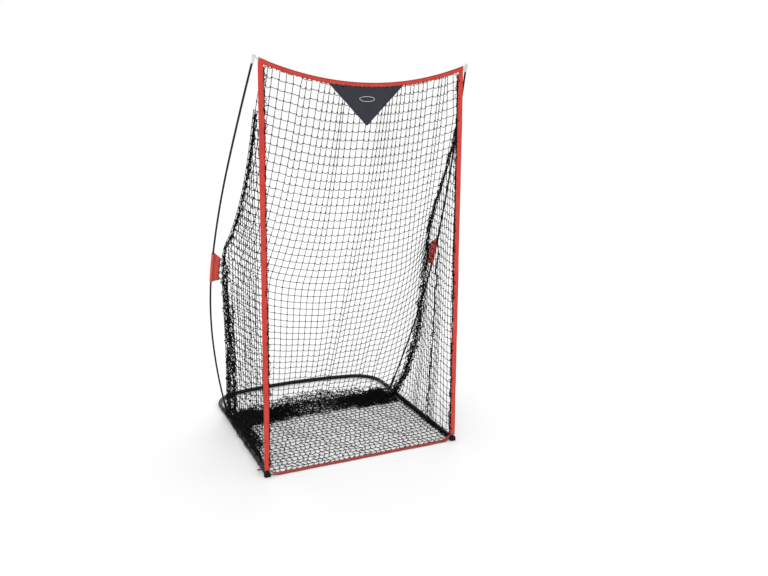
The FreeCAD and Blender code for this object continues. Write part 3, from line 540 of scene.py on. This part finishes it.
def side_net(side, name, seed):
    """A net that narrows upward, between the side sleeve and the rear seam."""
    draw = np.random.default_rng(seed)
    pitch = MESH / SIDE_FULLNESS
    heights = np.arange(HEM_HEIGHT, 2.12, MESH * 0.95)
    index, points, held, links, rests = {}, [], [], [], []

    def knot(key, place, pinned):
        index[key] = len(points)
        points.append(place)
        held.append(pinned)

    for row, height in enumerate(heights):
        near = np.array([side * (trim_out(height) - 0.010), FRONT - lean(height) + 0.006, height])
        far = seam(height, side)
        width = np.linalg.norm(far - near)
        whole = int(width / pitch)
        for column in range(whole + 1):
            share = column * pitch / width
            # cloth is drawn together in one fold behind the opening
            fold = -0.05 * math.exp(-((share - 0.42) / 0.10) ** 2) * math.tanh((share - 0.42) * 12)
            place = near + (far - near) * min(max(share + fold, 0), 1)
            edge = min(share, 1 - share) * 5
            place[0] += side * min(edge, 1) * (
                0.024 * wander(share * 4 + height * 0.5, seed + 1, 1.3) - 0.012 + draw.normal(0, 0.002))
            place[2] += draw.normal(0, 0.002) if column else 0
            if row == 0:
                place = hem_point(max(share, 0.012) * (far[1] - FRONT), side)
            knot((row, column), place, column == 0 or row == 0)
        knot((row, "rope"), far, True)
        for column in range(whole):
            links.append((index[row, column], index[row, column + 1]))
            rests.append(MESH)
        links.append((index[row, whole], index[row, "rope"]))
        rests.append(max((width - whole * pitch) * SIDE_FULLNESS, 0.006))
        if row:
            for column in range(whole + 1):
                if (row - 1, column) in index:
                    links.append((index[row - 1, column], index[row, column]))
                    rests.append(MESH)
            column = 1
            while (row - 1, column) in index:
                if (row, column) not in index:
                    links.append((index[row - 1, column], index[row, "rope"]))
                    rests.append(MESH)
                column += 1
    points, held, links, rests = np.array(points), np.array(held), np.array(links), np.array(rests)
    long_enough = np.maximum(rests, np.where(held[links].all(axis=1), np.inf, rests))
    settled = settle(points, held, links, long_enough)
    gaps = np.linalg.norm(settled[links[:, 0]] - settled[links[:, 1]], axis=1)
    cords = Piece(f"{name}_cords", NET_CORD, "net_cord", [name])
    cords.tubes(strands(settled, links, np.maximum(rests, gaps), seed + 2, stray=0.5), CORD_RADIUS)
    hem = np.array([hem_point(depth, side) for depth in np.linspace(0.012, 0.93, 90)])
    cords.tubes(hem, HEM_RADIUS, sides=8)
    cords.make()
    lumps = Piece(f"{name}_knots", NET_CORD, "net_cord")
    lumps.knots(settled, KNOT_RADIUS, seed + 3)
    lumps.make()


def floor_net():
    """The net that lies flat inside the base, drawn in sideways, so its strands make scallops."""
    draw = np.random.default_rng(71)
    low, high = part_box("floor_net")
    across = np.linspace(low.x, high.x, FLOOR_COLUMNS)
    depth = np.linspace(low.y - 0.004, high.y, FLOOR_ROWS)
    x, y = np.meshgrid(across, depth)
    zigzag = np.where(np.arange(FLOOR_ROWS) % 2, 0.0075, -0.0075)[:, None]
    x = x + zigzag * np.clip((0.60 - np.abs(x)) * 8, 0, 1) + 0.006 * wander(y * 3 + x, 72, 0.7)
    y = y + 0.010 * wander(x * 2 + 1.3 * y, 73, 0.8) + draw.normal(0, 0.0018, y.shape)
    x += draw.normal(0, 0.0018, x.shape)
    x[:, 0], x[:, -1] = low.x, high.x
    z = 0.0034 + np.abs(draw.normal(0, 0.0009, x.shape))
    points = np.stack([x, y, z], axis=-1).reshape(-1, 3)
    links = grid_links(FLOOR_ROWS, FLOOR_COLUMNS)
    piece = Piece("floor_net_cords", NET_CORD, "net_cord", ["floor_net"])
    piece.tubes(strands(points, links, np.full(len(links), MESH * 0.94), 74, stray=0.25), CORD_RADIUS)
    piece.make()
    lumps = Piece("floor_net_knots", NET_CORD, "net_cord")
    lumps.knots(points, KNOT_RADIUS, 75)
    lumps.make()


def heap(piece, middle, size, height, rows, columns, seed):
    """A crumpled patch of net lying on the floor."""
    draw = np.random.default_rng(seed)
    u, v = np.meshgrid(np.linspace(-1, 1, columns), np.linspace(-1, 1, rows))
    swirl = 0.25 * wander(u * 2 + v, seed + 1, 1.9), 0.25 * wander(v * 2 - u, seed + 2, 1.9)
    x = middle[0] + size[0] * (u * 0.8 + swirl[0]) + draw.normal(0, 0.010, u.shape)
    y = middle[1] + size[1] * (v * 0.8 + swirl[1]) + draw.normal(0, 0.010, u.shape)
    crown = np.clip(1.15 - (u ** 2 + v ** 2) * 0.6, 0.15, 1)
    z = 0.004 + height * crown * np.abs(draw.normal(0, 0.55, u.shape)).clip(0, 1)
    points = np.stack([x, y, z], axis=-1).reshape(-1, 3)
    links = grid_links(rows, columns)
    piece.tubes(strands(points, links, np.full(len(links), MESH), seed + 3, stray=1.2), CORD_RADIUS)
    piece.knots(points, KNOT_RADIUS, seed + 4)


def bundle(piece, route, count, spread, seed, radius=CORD_RADIUS, rungs=0, ground=0.0016):
    """Net drawn together along a line: wavering cords, with short strands between them."""
    path = resample(route, 0.016)
    run = np.arange(len(path)) * 0.016
    cords = []
    for i in range(count):
        x = wander(run, seed + 3 * i, 0.16 + 0.03 * (i % 3))
        y = wander(run, seed + 3 * i + 1, 0.19)
        z = wander(run, seed + 3 * i + 2, 0.14)
        moved = path + np.stack([x, y, z * 0.3], axis=1) * np.asarray(spread)
        moved[:, 2] = np.maximum(moved[:, 2], ground)
        cords.append(clear_of_rails(moved))
    piece.tubes(np.array(cords), radius)
    if rungs:
        draw = np.random.default_rng(seed + 500)
        at = draw.integers(0, len(path) - 3, rungs)
        one, two = draw.integers(0, count, rungs), draw.integers(0, count, rungs)
        two = np.where(one == two, (two + 1) % count, two)
        cords = np.array(cords)
        ends = np.stack([cords[one, at], cords[two, at + draw.integers(0, 3, rungs)]], axis=1)
        pairs = np.arange(rungs * 2).reshape(-1, 2)
        piece.tubes(strands(ends.reshape(-1, 3), pairs, np.full(rungs, MESH), seed + 7, stray=1.0), radius)
        piece.knots(cords[one, at], KNOT_RADIUS, seed + 8)


def gathers():
    """Where the net is drawn together: rear seams, the opening's edges, the rails and the floor's corners."""
    for side, name, seed in ((1, "right", 200), (-1, "left", 300)):
        rear = Piece(f"{name}_rear_gather", NET_CORD, "net_cord")
        low = seam(np.linspace(0.03, 1.22, 30), side, 0.012)
        bundle(rear, low, 8, (0.024, 0.036, 0.014), seed, rungs=120)
        second = seam(np.linspace(0.03, 0.95, 30), side, 0.030) - np.array([0, 0.075, 0])
        bundle(rear, second, 5, (0.016, 0.028, 0.012), seed + 20, rungs=80)
        # one long pleat in each side net
        bundle(rear, np.array(PLEATS[name]) + [0, FRONT, 0], 4, (0.008, 0.011, 0.006), seed + 30, rungs=60)
        bundle(rear, seam(np.linspace(1.2, 2.14, 24), side, 0.008), 6, (0.009, 0.012, 0.006), seed + 40, rungs=90)
        rear.make()
        edge = Piece(f"{name}_opening_gather", NET_CORD, "net_cord")
        heights = np.linspace(0.05, 2.37, 60)
        inner = trim_out(heights) - TRIM_WIDTH / 2 + 0.001
        line = np.stack([side * inner, FRONT - lean(heights) + 0.006, heights], axis=1)
        bundle(edge, line, 6, (0.0048, 0.004, 0.003), seed + 80, rungs=170)
        edge.make()
        corner = Piece(f"{name}_floor_gather", NET_CORD, "net_cord")
        along = np.array([rail_point(d, side, out=-0.026, up=0.004) for d in np.linspace(0.22, 0.96, 20)])
        full = side < 0
        bundle(corner, along, 13 if full else 5, (0.019, 0.02, 0.030) if full else (0.007, 0.01, 0.006), seed + 120,
               rungs=190 if full else 40)
        if full:
            heap(corner, (side * 0.585, FRONT + 0.62), (0.040, 0.22), 0.030, 17, 8, seed + 150)
        heap(corner, (side * 0.43, FRONT + 0.86), (0.15, 0.10), 0.045, 13, 17, seed + 160)
        heap(corner, (side * 0.52, FRONT + 0.97), (0.09, 0.09), 0.050, 11, 12, seed + 170)
        heap(corner, (side * 0.30, FRONT + 0.92), (0.14, 0.11), 0.032, 11, 14, seed + 180)
        corner.make()


# ================================================================ cloth edges
def stitches(piece, line, outward, pitch=0.0052, length=0.0034, radius=0.00035):
    """A row of short thread dashes standing just proud of the cloth."""
    path = resample(line, pitch)
    lift = np.broadcast_to(outward, path.shape) * 0.0003
    ahead = unit(np.gradient(path, axis=0)) * length / 2
    ends = np.stack([path - ahead, path + lift, path + ahead], axis=1)
    piece.tubes(ends, radius, sides=4)


def side_trim(side, name, seed):
    """A flattened sleeve up one side of the opening, narrower where it is drawn to the top corner."""
    heights = np.linspace(TRIM_FOOT, TRIM_TOP - 0.004, 190)
    path = np.stack([side * trim_out(heights), FRONT - lean(heights), heights], axis=1)
    path[:, 0] += side * 0.0012 * wander(heights, seed, 0.9)
    half = np.interp(heights, [TRIM_FOOT, 0.10, 2.15, 2.36, TRIM_TOP], [0.0145, 0.0162, 0.0162, 0.0155, 0.0145])
    thick = 0.0021 + 0.0004 * wander(heights, seed + 1, 0.12)

    def pucker(place, spot):
        strength = 0.00045 + 0.0012 * np.exp(-(TRIM_TOP - spot[..., 2]) / 0.12)
        return strength * wander(spot[..., 2] + place * 0.01, seed + 2, 0.05) * (1 - place ** 2 * 0.5)

    piece = Piece(f"{name}_cloth", RED, "red_fabric", [name])
    piece.band(path, (side, 0, 0), half, thick, ripple=pucker)
    cloth = piece.make()
    thread = Piece(f"{name}_stitching", RED_THREAD, "red_fabric")
    for face in (-1, 1):
        for edge in (-0.72, 0.72):
            line = path + np.stack([side * half * edge, np.full_like(half, face * 0.0021), half * 0], axis=1)
            stitches(thread, line, (0, face, 0))
    thread.make()
    return path


def top_trim():
    """The sagging top sleeve: its upper edge is folded, with painted shade darkening the fold, and the net is laced
    through its lower edge.
    """
    across = np.linspace(-TOP_HALF - CORNER_LAP, TOP_HALF + CORNER_LAP, 124)

    def ahead_of_corners(line):
        """The sleeve's ends pass in front of the side sleeves that they are sewn to."""
        line[:, 1] -= 0.0052 * np.clip((np.abs(line[:, 0]) - TOP_HALF + 0.030) / 0.024, 0, 1)
        return line

    path = ahead_of_corners(top_curve(across))
    piece = Piece("top_trim_cloth", RED, "red_fabric", ["top_trim"])
    half = TOP_DEPTH / 2 + 0.0006 * wander(across, 41, 0.3)

    def pucker(place, spot):
        return 0.0006 * wander(spot[..., 0] + place * 0.004, 42, 0.06) * (1 - place ** 2 * 0.5)

    piece.band(path, (0, 0, 1), half, 0.0023, ripple=pucker)
    cloth = piece.make()
    # the folded hem uses the red cloth with painted shade
    hem = Piece("top_trim_hem", RED_SHADED, "red_fabric")
    hem.band(ahead_of_corners(top_curve(across, -TOP_DEPTH / 2 + 0.0024)), (0, 0, 1), 0.0028, 0.0029)
    hem.make()
    thread = Piece("top_trim_stitching", RED_THREAD, "red_fabric")
    for face in (-1, 1):
        for drop in (-0.006, 0.0085):
            line = ahead_of_corners(top_curve(across, drop))
            line[:, 1] += face * 0.0024
            stitches(thread, line, (0, face, 0))
    thread.make()


def bottom_trim():
    """The sleeve on the floor between the rails, turned up at both ends to meet the side sleeves."""
    low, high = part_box("bottom_trim")
    middle = (low.y + high.y) / 2
    turn = 0.018
    across = np.linspace(-high.x - 0.014, high.x + 0.014, 150)
    rise = np.clip((np.abs(across) - high.x + 0.040) / 0.054, 0, 1) ** 1.7
    depth = middle + 0.0016 * wander(across, 51, 0.5) + 0.003 * rise
    path = np.stack([across, depth, 0.0034 + 2 * turn * rise], axis=1)
    # the sleeve on the floor uses the red cloth with painted shade
    piece = Piece("bottom_trim_cloth", RED_SHADED, "red_fabric", ["bottom_trim"])
    half = 0.0178 - 0.0118 * rise

    def pucker(place, spot):
        return 0.0005 * wander(spot[..., 0] + place * 0.006, 52, 0.07)

    piece.band(path, (0, 1, 0), half, 0.0026, ripple=pucker)
    cloth = piece.make()
    thread = Piece("bottom_trim_stitching", RED_THREAD, "red_fabric")
    for edge in (-0.012, 0.012):
        line = path[8:-8].copy()
        line[:, 1] += edge
        line[:, 2] += 0.0027
        stitches(thread, line, (0, 0, 1))
    thread.make()


def trim_lacing(paths):
    """Loops of cord that hold the net to the sleeves, one at every knot."""
    piece = Piece("opening_lacing", NET_CORD, "net_cord")
    turn = circle(12)

    def loops(centres, out, reach, depth):
        rings = [c + np.outer(turn[:, 0] * reach, out) + np.outer(turn[:, 1] * depth, (0, 1, 0)) for c in centres]
        piece.tubes(np.array(rings), 0.0011, closed=True)

    across = np.linspace(-TOP_HALF + 0.012, TOP_HALF - 0.012, BACK_COLUMNS + 1)
    loops(top_curve(across, TOP_DEPTH / 2 - 0.001), (0, 0, 1), 0.0062, 0.0038)
    for side, path in paths.items():
        spots = resample(path, MESH)[1:-1]
        spots[:, 0] -= side * (TRIM_WIDTH / 2 - 0.002)
        loops(spots, (1, 0, 0), 0.0056, 0.0042)
    low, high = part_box("bottom_trim")
    spots = np.stack([np.linspace(low.x + 0.02, high.x - 0.02, FLOOR_COLUMNS - 2),
                      np.full(FLOOR_COLUMNS - 2, high.y - 0.001), np.full(FLOOR_COLUMNS - 2, 0.0046)], axis=1)
    rings = [c + np.outer(turn[:, 0] * 0.0055, (0, 1, 0)) + np.outer(turn[:, 1] * 0.0034, (0, 0, 1)) for c in spots]
    piece.tubes(np.array(rings), 0.0010, closed=True)
    piece.make()


def pennant():
    """A triangle of heather cloth under the top sleeve, with piped edges and a plain woven patch."""
    low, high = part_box("pennant")
    half, tip, rear = high.x, low.z, (low.y + high.y) / 2
    rows, columns = 26, 41
    u = np.linspace(-1, 1, columns)
    top = top_curve(u * half, TOP_DEPTH / 2 - 0.003)
    sheets = []
    for face in (-1, 1):
        grid = np.zeros((rows, columns, 3))
        for row, share in enumerate(np.linspace(0, 1, rows)):
            grid[row, :, 0] = u * half * (1 - share)
            grid[row, :, 2] = top[:, 2] * (1 - share) + tip * share
            wave = 0.0032 * wander(u * (1 - share) * half + share * 0.05, 61, 0.16) * math.sin(math.pi * share) ** 0.5
            grid[row, :, 1] = rear + wave + face * 0.0008
        sheets.append(grid)
    piece = Piece("pennant_cloth", PENNANT, "pennant_fabric", ["pennant"])
    front, back = sheets
    outline = np.concatenate([front, back[:, ::-1]], axis=1)
    piece.grid(outline[None])
    cloth = piece.make()
    middle = (front + back) / 2
    edging = Piece("pennant_piping", PIPING, "pennant_fabric")
    for column in (0, -1):
        edging.band(resample(middle[:, column], 0.008), (1, 0, 0), 0.0030, 0.0019, outline=flat_outline(12))
    edging.make()
    thread = Piece("pennant_stitching", PIPING, "pennant_fabric")
    for column in (2, -3):
        line = front[2:-3, column].copy()
        line[:, 1] -= 0.0004
        stitches(thread, line, (0, -1, 0))
    thread.make()
    patch = Piece("pennant_patch", LABEL, "pennant_fabric")
    angles = np.linspace(0, 2 * math.pi, 48, endpoint=False)
    for wide, tall in ((0.046, 0.0135),):
        ring = np.stack([wide * np.cos(angles), np.zeros(48), tall * np.sin(angles)], axis=1)
        ring += np.array([0, low.y - 0.0042, high.z - 0.079])
        patch.tubes(ring, 0.0013, sides=6, closed=True)
    patch.make()


def pole_sleeve(side, name, word, seed):
    """A strip of cloth wrapped round the pole and sewn into a flap that reaches to the net's edge."""
    low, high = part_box(name)
    steps = 34
    middle = pole_middle(word, low.z + 0.002, high.z - 0.002, steps)
    axis = unit(middle[-1] - middle[0])
    flap = np.array([-side, 0.08, 0.0])
    flap = unit(flap - axis * (flap @ axis))
    across = np.cross(axis, flap)
    bore, reach, wall, gap = 0.0092, 0.041, 0.0007, 0.0009
    tail = np.linspace(bore + reach, bore, 10)
    bend = np.linspace(0.10, 2 * math.pi - 0.10, 26)
    centre = np.concatenate([
        np.stack([tail, np.full(10, gap)], axis=1),
        np.stack([np.cos(bend), np.sin(bend)], axis=1) * bore,
        np.stack([tail[::-1], np.full(10, -gap)], axis=1),
    ])
    ahead = unit(np.gradient(centre, axis=0))
    normal = np.stack([-ahead[:, 1], ahead[:, 0]], axis=1)
    outline = np.concatenate([centre + normal * wall, (centre - normal * wall)[::-1]])
    rings = middle[:, None] + flap * outline[None, :, :1] + across * outline[None, :, 1:]
    share = np.linspace(0, 1, steps)[:, None]
    out = np.clip((outline[None, :, 0] - bore) / reach, 0, 1)
    rings += axis * (-0.040 * out * share ** 6 + 0.006 * out * (1 - share) ** 6)[..., None]
    waver = 0.0016 * wander(share * 0.21 + out * 0.02, seed, 0.09) * out
    rings += across * waver[..., None]
    piece = Piece(f"{name}_cloth", SLEEVE_RED, "red_fabric", [name])
    piece.grid(rings[None])
    cloth = piece.make()
    thread = Piece(f"{name}_stitching", RED_THREAD, "red_fabric")
    # the binding uses the red cloth with painted shade
    edges = Piece(f"{name}_binding", RED_SHADED, "red_fabric")
    for place in (bore + 0.003, bore + reach - 0.004):
        for face in (-1, 1):
            line = middle[3:-7] + flap * place + across * face * (gap + wall + 0.0008)
            stitches(thread, line, across * face)
    line = middle[1:-7] + flap * (bore + reach - 0.0008)
    edges.band(line, flap, 0.0022, 0.0028, outline=flat_outline(12))
    thread.make()
    edges.make()
    # the flap is lashed to the border rope
    lacing = Piece(f"{word}_sleeve_lashing", ROPE, "black_cord", [f"{word}_sleeve_lacing"])
    for part in (0.10, 0.32, 0.56, 0.78):
        spot = middle[int(part * (steps - 1))]
        inner = spot + flap * (bore + reach - 0.006)
        rope = seam(spot[2], side) + np.array([side * ROPE_OUT, ROPE_BEHIND, 0])
        middle_of = (inner + rope) / 2
        long = (rope - inner) / 2
        for lift in (-0.0018, 0.0018):
            angles = np.linspace(0, 2 * math.pi, 20, endpoint=False)
            wide = across * 0.0052
            ring = (middle_of + np.outer(np.cos(angles), long * (1 + 0.0045 / np.linalg.norm(long)))
                    + np.outer(np.sin(angles), wide))
            ring[:, 2] += lift + 0.002 * np.sin(angles)
            lacing.tubes(ring, 0.0012, closed=True)
        lacing.knots(np.array([middle_of + across * 0.0055]), 0.0036, seed + 9)
    lacing.make()


# ================================================================ ropes, ties and straps
def rear_rope(side, word, seed):
    """The net's border rope: three laid strands round one smooth line."""
    points = [seam(h, side) + np.array([side * ROPE_OUT, ROPE_BEHIND, 0]) for h in REAR_SEAM[::-1, 0]]
    curve = bpy.data.curves.new("rope_line", "CURVE")
    curve.dimensions = "3D"
    curve.resolution_u = 24
    spline = curve.splines.new("NURBS")
    spline.points.add(len(points) - 1)
    for target, point in zip(spline.points, points):
        target.co = (*point, 1)
    spline.order_u = 3
    spline.use_endpoint_u = True
    holder = bpy.data.objects.new("rope_line", curve)
    line = bpy.data.meshes.new_from_object(holder)
    path = np.array([v.co for v in line.vertices])
    bpy.data.objects.remove(holder)
    bpy.data.meshes.remove(line)
    bpy.data.curves.remove(curve)
    fine = resample(path, 0.0028)
    run = np.arange(len(fine)) * np.linalg.norm(fine[1] - fine[0])
    ahead = unit(np.gradient(fine, axis=0))
    across = unit(np.array([1.0, 0, 0]) - ahead * ahead[:, :1])
    through = np.cross(ahead, across)
    strand_radius = ROPE_DIAMETER / 2 / 2.15
    lay = ROPE_DIAMETER / 2 - strand_radius
    helices = []
    for third in range(3):
        turn = run * 2 * math.pi / 0.018 + third * 2 * math.pi / 3
        helices.append(fine + across * (np.cos(turn) * lay)[:, None] + through * (np.sin(turn) * lay)[:, None])
    piece = Piece(f"{word}_border_rope", ROPE, "black_cord", [f"{word}_rear_rope"])
    piece.tubes(np.array(helices), strand_radius, sides=6)
    rope = piece.make()
    # the net's edge is whipped to the rope
    lashing = Piece(f"{word}_rope_lashing", NET_CORD, "net_cord")
    spots = resample(path, MESH)[1:-1]
    turn = circle(10) * 0.0042
    rings = [s + np.outer(turn[:, 0], (1, 0, 0)) + np.outer(turn[:, 1], (0, 1, 0)) - np.array([side, 1.2, 0]) * 0.0012
             for s in spots]
    lashing.tubes(np.array(rings), 0.0011, closed=True)
    lashing.knots(spots + np.array([-side * 0.0045, -0.002, 0]), KNOT_RADIUS, seed)
    lashing.make()
    # the rope's foot, which the corner strap's tail runs to
    return path[-1]


def wrapped_tie(piece, centre, axis, radius, cord, seed, turns=2):
    """Cord taken round a tube a couple of times and knotted on top."""
    axis = unit(np.asarray(axis, float))
    across = unit(np.cross(axis, UP))
    up = np.cross(across, axis)
    angles = np.linspace(0, 2 * math.pi, 22, endpoint=False)
    for i in range(turns):
        slide = (i - (turns - 1) / 2) * cord * 2.2
        tilt = cord * 0.8 * np.sin(angles + seed)
        ring = (centre + np.outer(np.cos(angles) * radius, across) + np.outer(np.sin(angles) * radius, up)
                + np.outer(slide + tilt, axis))
        ring[:, 2] = np.maximum(ring[:, 2], cord + 0.0001)
        piece.tubes(ring, cord, closed=True)
    return centre + up * (radius + cord)


def ties(side, word, seed):
    """Loops that tie the side net and the floor net to the rail."""
    piece = Piece(f"{word}_rail_cords", ROPE, "black_cord", [f"{word}_rail_ties"])
    direction = np.array([side * math.sin(RAIL_SPLAY), math.cos(RAIL_SPLAY), 0])
    for number in range(7):
        depth = 0.150 + 0.105 * number
        centre = rail_point(depth, side)
        top = wrapped_tie(piece, centre, direction, TUBE_RADIUS + 0.0011, 0.0009, seed + number)
        piece.knots(top[None], 0.0034, seed + number)
        tail = top + np.array([(0, 0, 0), (-side * 0.006, -0.006, 0.004), (-side * 0.014, -0.010, 0)])
        piece.tubes(resample(tail, 0.003), 0.0009)
    piece.make()


def corner_strap(side, word, foot):
    """A webbing loop round the corner tube, with a tail sewn to the net's lower rear corner."""
    low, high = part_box(f"{word}_corner_strap")
    centre = np.array([(low.x + high.x) / 2, (low.y + high.y) / 2, TUBE_HEIGHT])
    direction = np.array([side * math.sin(RAIL_SPLAY), math.cos(RAIL_SPLAY), 0])
    outward = np.array([side * math.cos(RAIL_SPLAY), -math.sin(RAIL_SPLAY), 0])
    angles = np.linspace(0, 2 * math.pi, 40, endpoint=False)
    ring = centre + np.outer(np.cos(angles) * 0.01505, outward) + np.outer(np.sin(angles) * 0.01505, UP)
    piece = Piece(f"{word}_strap_webbing", WEBBING, "strap_webbing", [f"{word}_corner_strap"])
    piece.band(ring, direction, 0.0098, 0.00085, closed=True, outline=flat_outline(16, 0.3))
    start = centre + np.array([-side * 0.004, -0.004, 0.0158])
    route = np.array([start, start + [-side * 0.004, -0.03, 0.004], foot + [0, 0.045, 0.010], foot + [0, 0.004, 0.003]])
    piece.band(resample(route, 0.008), (side, 0, 0), 0.0085, 0.0008, outline=flat_outline(16, 0.3))
    piece.make()
    thread = Piece(f"{word}_strap_stitching", PIPING, "strap_webbing")
    for edge in (-0.006, 0.006):
        line = np.array([start, start + [-side * 0.004, -0.028, 0.004]]) + np.array([edge, 0, 0.0011])
        stitches(thread, line, UP, pitch=0.004)
    thread.make()


def loops(side, word, seed):
    """The cords at the pole tip and at the hook pin."""
    low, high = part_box(f"{word}_tip_loop")
    centre = np.array([(low.x + high.x) / 2, (low.y + high.y) / 2, (low.z + high.z) / 2])
    corner = np.array([side * (TRIM_TOP_OUT + 0.001), FRONT - TRIM_LEAN, TRIM_TOP - 0.012])
    pull = unit((corner - centre) * np.array([1, 1, 0]))
    cross_way = np.array([-pull[1], pull[0], 0])
    angles = np.linspace(math.radians(80), math.radians(280), 16)
    around = centre + np.outer(np.cos(angles) * 0.0074, pull) + np.outer(np.sin(angles) * 0.0074, cross_way)
    ring = np.concatenate([corner[None] + cross_way * 0.002, around, corner[None] - cross_way * 0.002])
    piece = Piece(f"{word}_tip_cord", PALE_CORD, "pale_cord", [f"{word}_tip_loop"])
    piece.tubes(resample(np.concatenate([ring, ring[:1]]), 0.0025)[:-1], 0.0013, sides=8, closed=True)
    piece.knots(corner[None], 0.0036, seed)
    piece.make()
    low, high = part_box(f"{word}_hook_loop")
    centre = np.array([(low.x + high.x) / 2, (low.y + high.y) / 2, (low.z + high.z) / 2])
    turn = circle(18)
    ring = centre + np.outer(turn[:, 0] * 0.0045, (0, 1, 0)) + np.outer(turn[:, 1] * 0.0045, (0, 0, 1))
    hook = Piece(f"{word}_hook_cord", ROPE, "black_cord", [f"{word}_hook_loop"])
    hook.tubes(ring, 0.0012, sides=6, closed=True)
    above = np.array([centre + [0, 0, 0.0045], centre + [-side * 0.006, -0.002, 0.018],
                      [side * (trim_out(0.06) - 0.004), FRONT + 0.010, 0.052]])
    hook.tubes(resample(above, 0.004), 0.0011)
    hook.make()


# ================================================================ camera, light and floor
def studio():
    bpy.ops.mesh.primitive_plane_add(size=60, location=(0, 0, -0.0006))
    ground = bpy.context.object
    ground.name = "studio_floor"
    ground.data.materials.append(FLOOR)
    world = bpy.data.worlds.new("studio")
    world.use_nodes = True
    world.node_tree.nodes["Background"].inputs[0].default_value = (1, 1, 1, 1)
    world.node_tree.nodes["Background"].inputs[1].default_value = 1.0
    bpy.context.scene.world = world
    for name, place, soft, power in (("key", (-2.6, -4.2, 4.4), 25, 0.75), ("rear", (2.5, 4.5, 4.0), 40, 0.35)):
        light = bpy.data.lights.new(name, "SUN")
        light.angle, light.energy = math.radians(soft), power
        lamp = bpy.data.objects.new(name, light)
        lamp.location = place
        lamp.rotation_euler = (Vector((0, 0, 1.1)) - Vector(place)).to_track_quat("-Z", "Y").to_euler()
        bpy.context.scene.collection.objects.link(lamp)
    bpy.context.scene.view_settings.view_transform = "Standard"


def camera():
    """Stands at the front left, at head height, and looks slightly down."""
    yaw, pitch, roll = math.radians(24.67), math.radians(12.66), math.radians(0.29)
    data = bpy.data.cameras.new("camera")
    data.sensor_width, data.lens = 36, 34.08
    data.clip_start, data.clip_end = 0.05, 200
    ahead = Vector((math.sin(yaw) * math.cos(pitch), math.cos(yaw) * math.cos(pitch), -math.sin(pitch)))
    right = Vector((math.cos(yaw), -math.sin(yaw), 0))
    up = right.cross(ahead)
    turned = right * math.cos(roll) + up * math.sin(roll), up * math.cos(roll) - right * math.sin(roll)
    eye = bpy.data.objects.new("camera", data)
    columns = (turned[0], turned[1], -ahead)
    eye.matrix_world = Matrix.Translation((-1.687, -4.670, 2.073)) @ Matrix(columns).transposed().to_4x4()
    bpy.context.scene.collection.objects.link(eye)
    bpy.context.scene.camera = eye


# ================================================================ everything together
KEPT = {
    PAINT: ["side_rail", "corner_tube", "pole_socket", "hook_pin"],
    STEEL: ["rail_snap_button", "bar_snap_button", "rail_button_spring", "bar_button_spring"],
    RUBBER: ["foot_cap"],
    POLE: [f"pole_section_{number}" for number in range(1, 5)],
    ALLOY: ["pole_splices"],
    TIP: ["pole_tip"],
}
for kept_material, names in KEPT.items():
    for part_name in [f"{word}_{n}" for word in ("left", "right") for n in names] + (
            ["rear_bar"] if kept_material is PAINT else []):
        NODES[part_name].data.materials.clear()
        NODES[part_name].data.materials.append(kept_material)

camera()
studio()
back_net()
floor_net()
gathers()
trim_paths = {}
for hand, word, seed in ((1, "right", 1000), (-1, "left", 2000)):
    side_net(hand, f"{word}_side_net", seed)
    trim_paths[hand] = side_trim(hand, f"{word}_side_trim", seed + 100)
    pole_sleeve(hand, f"{word}_pole_sleeve", word, seed + 200)
    rope_foot = rear_rope(hand, word, seed + 300)
    ties(hand, word, seed + 400)
    corner_strap(hand, word, rope_foot)
    loops(hand, word, seed + 500)
top_trim()
bottom_trim()
trim_lacing(trim_paths)
pennant()
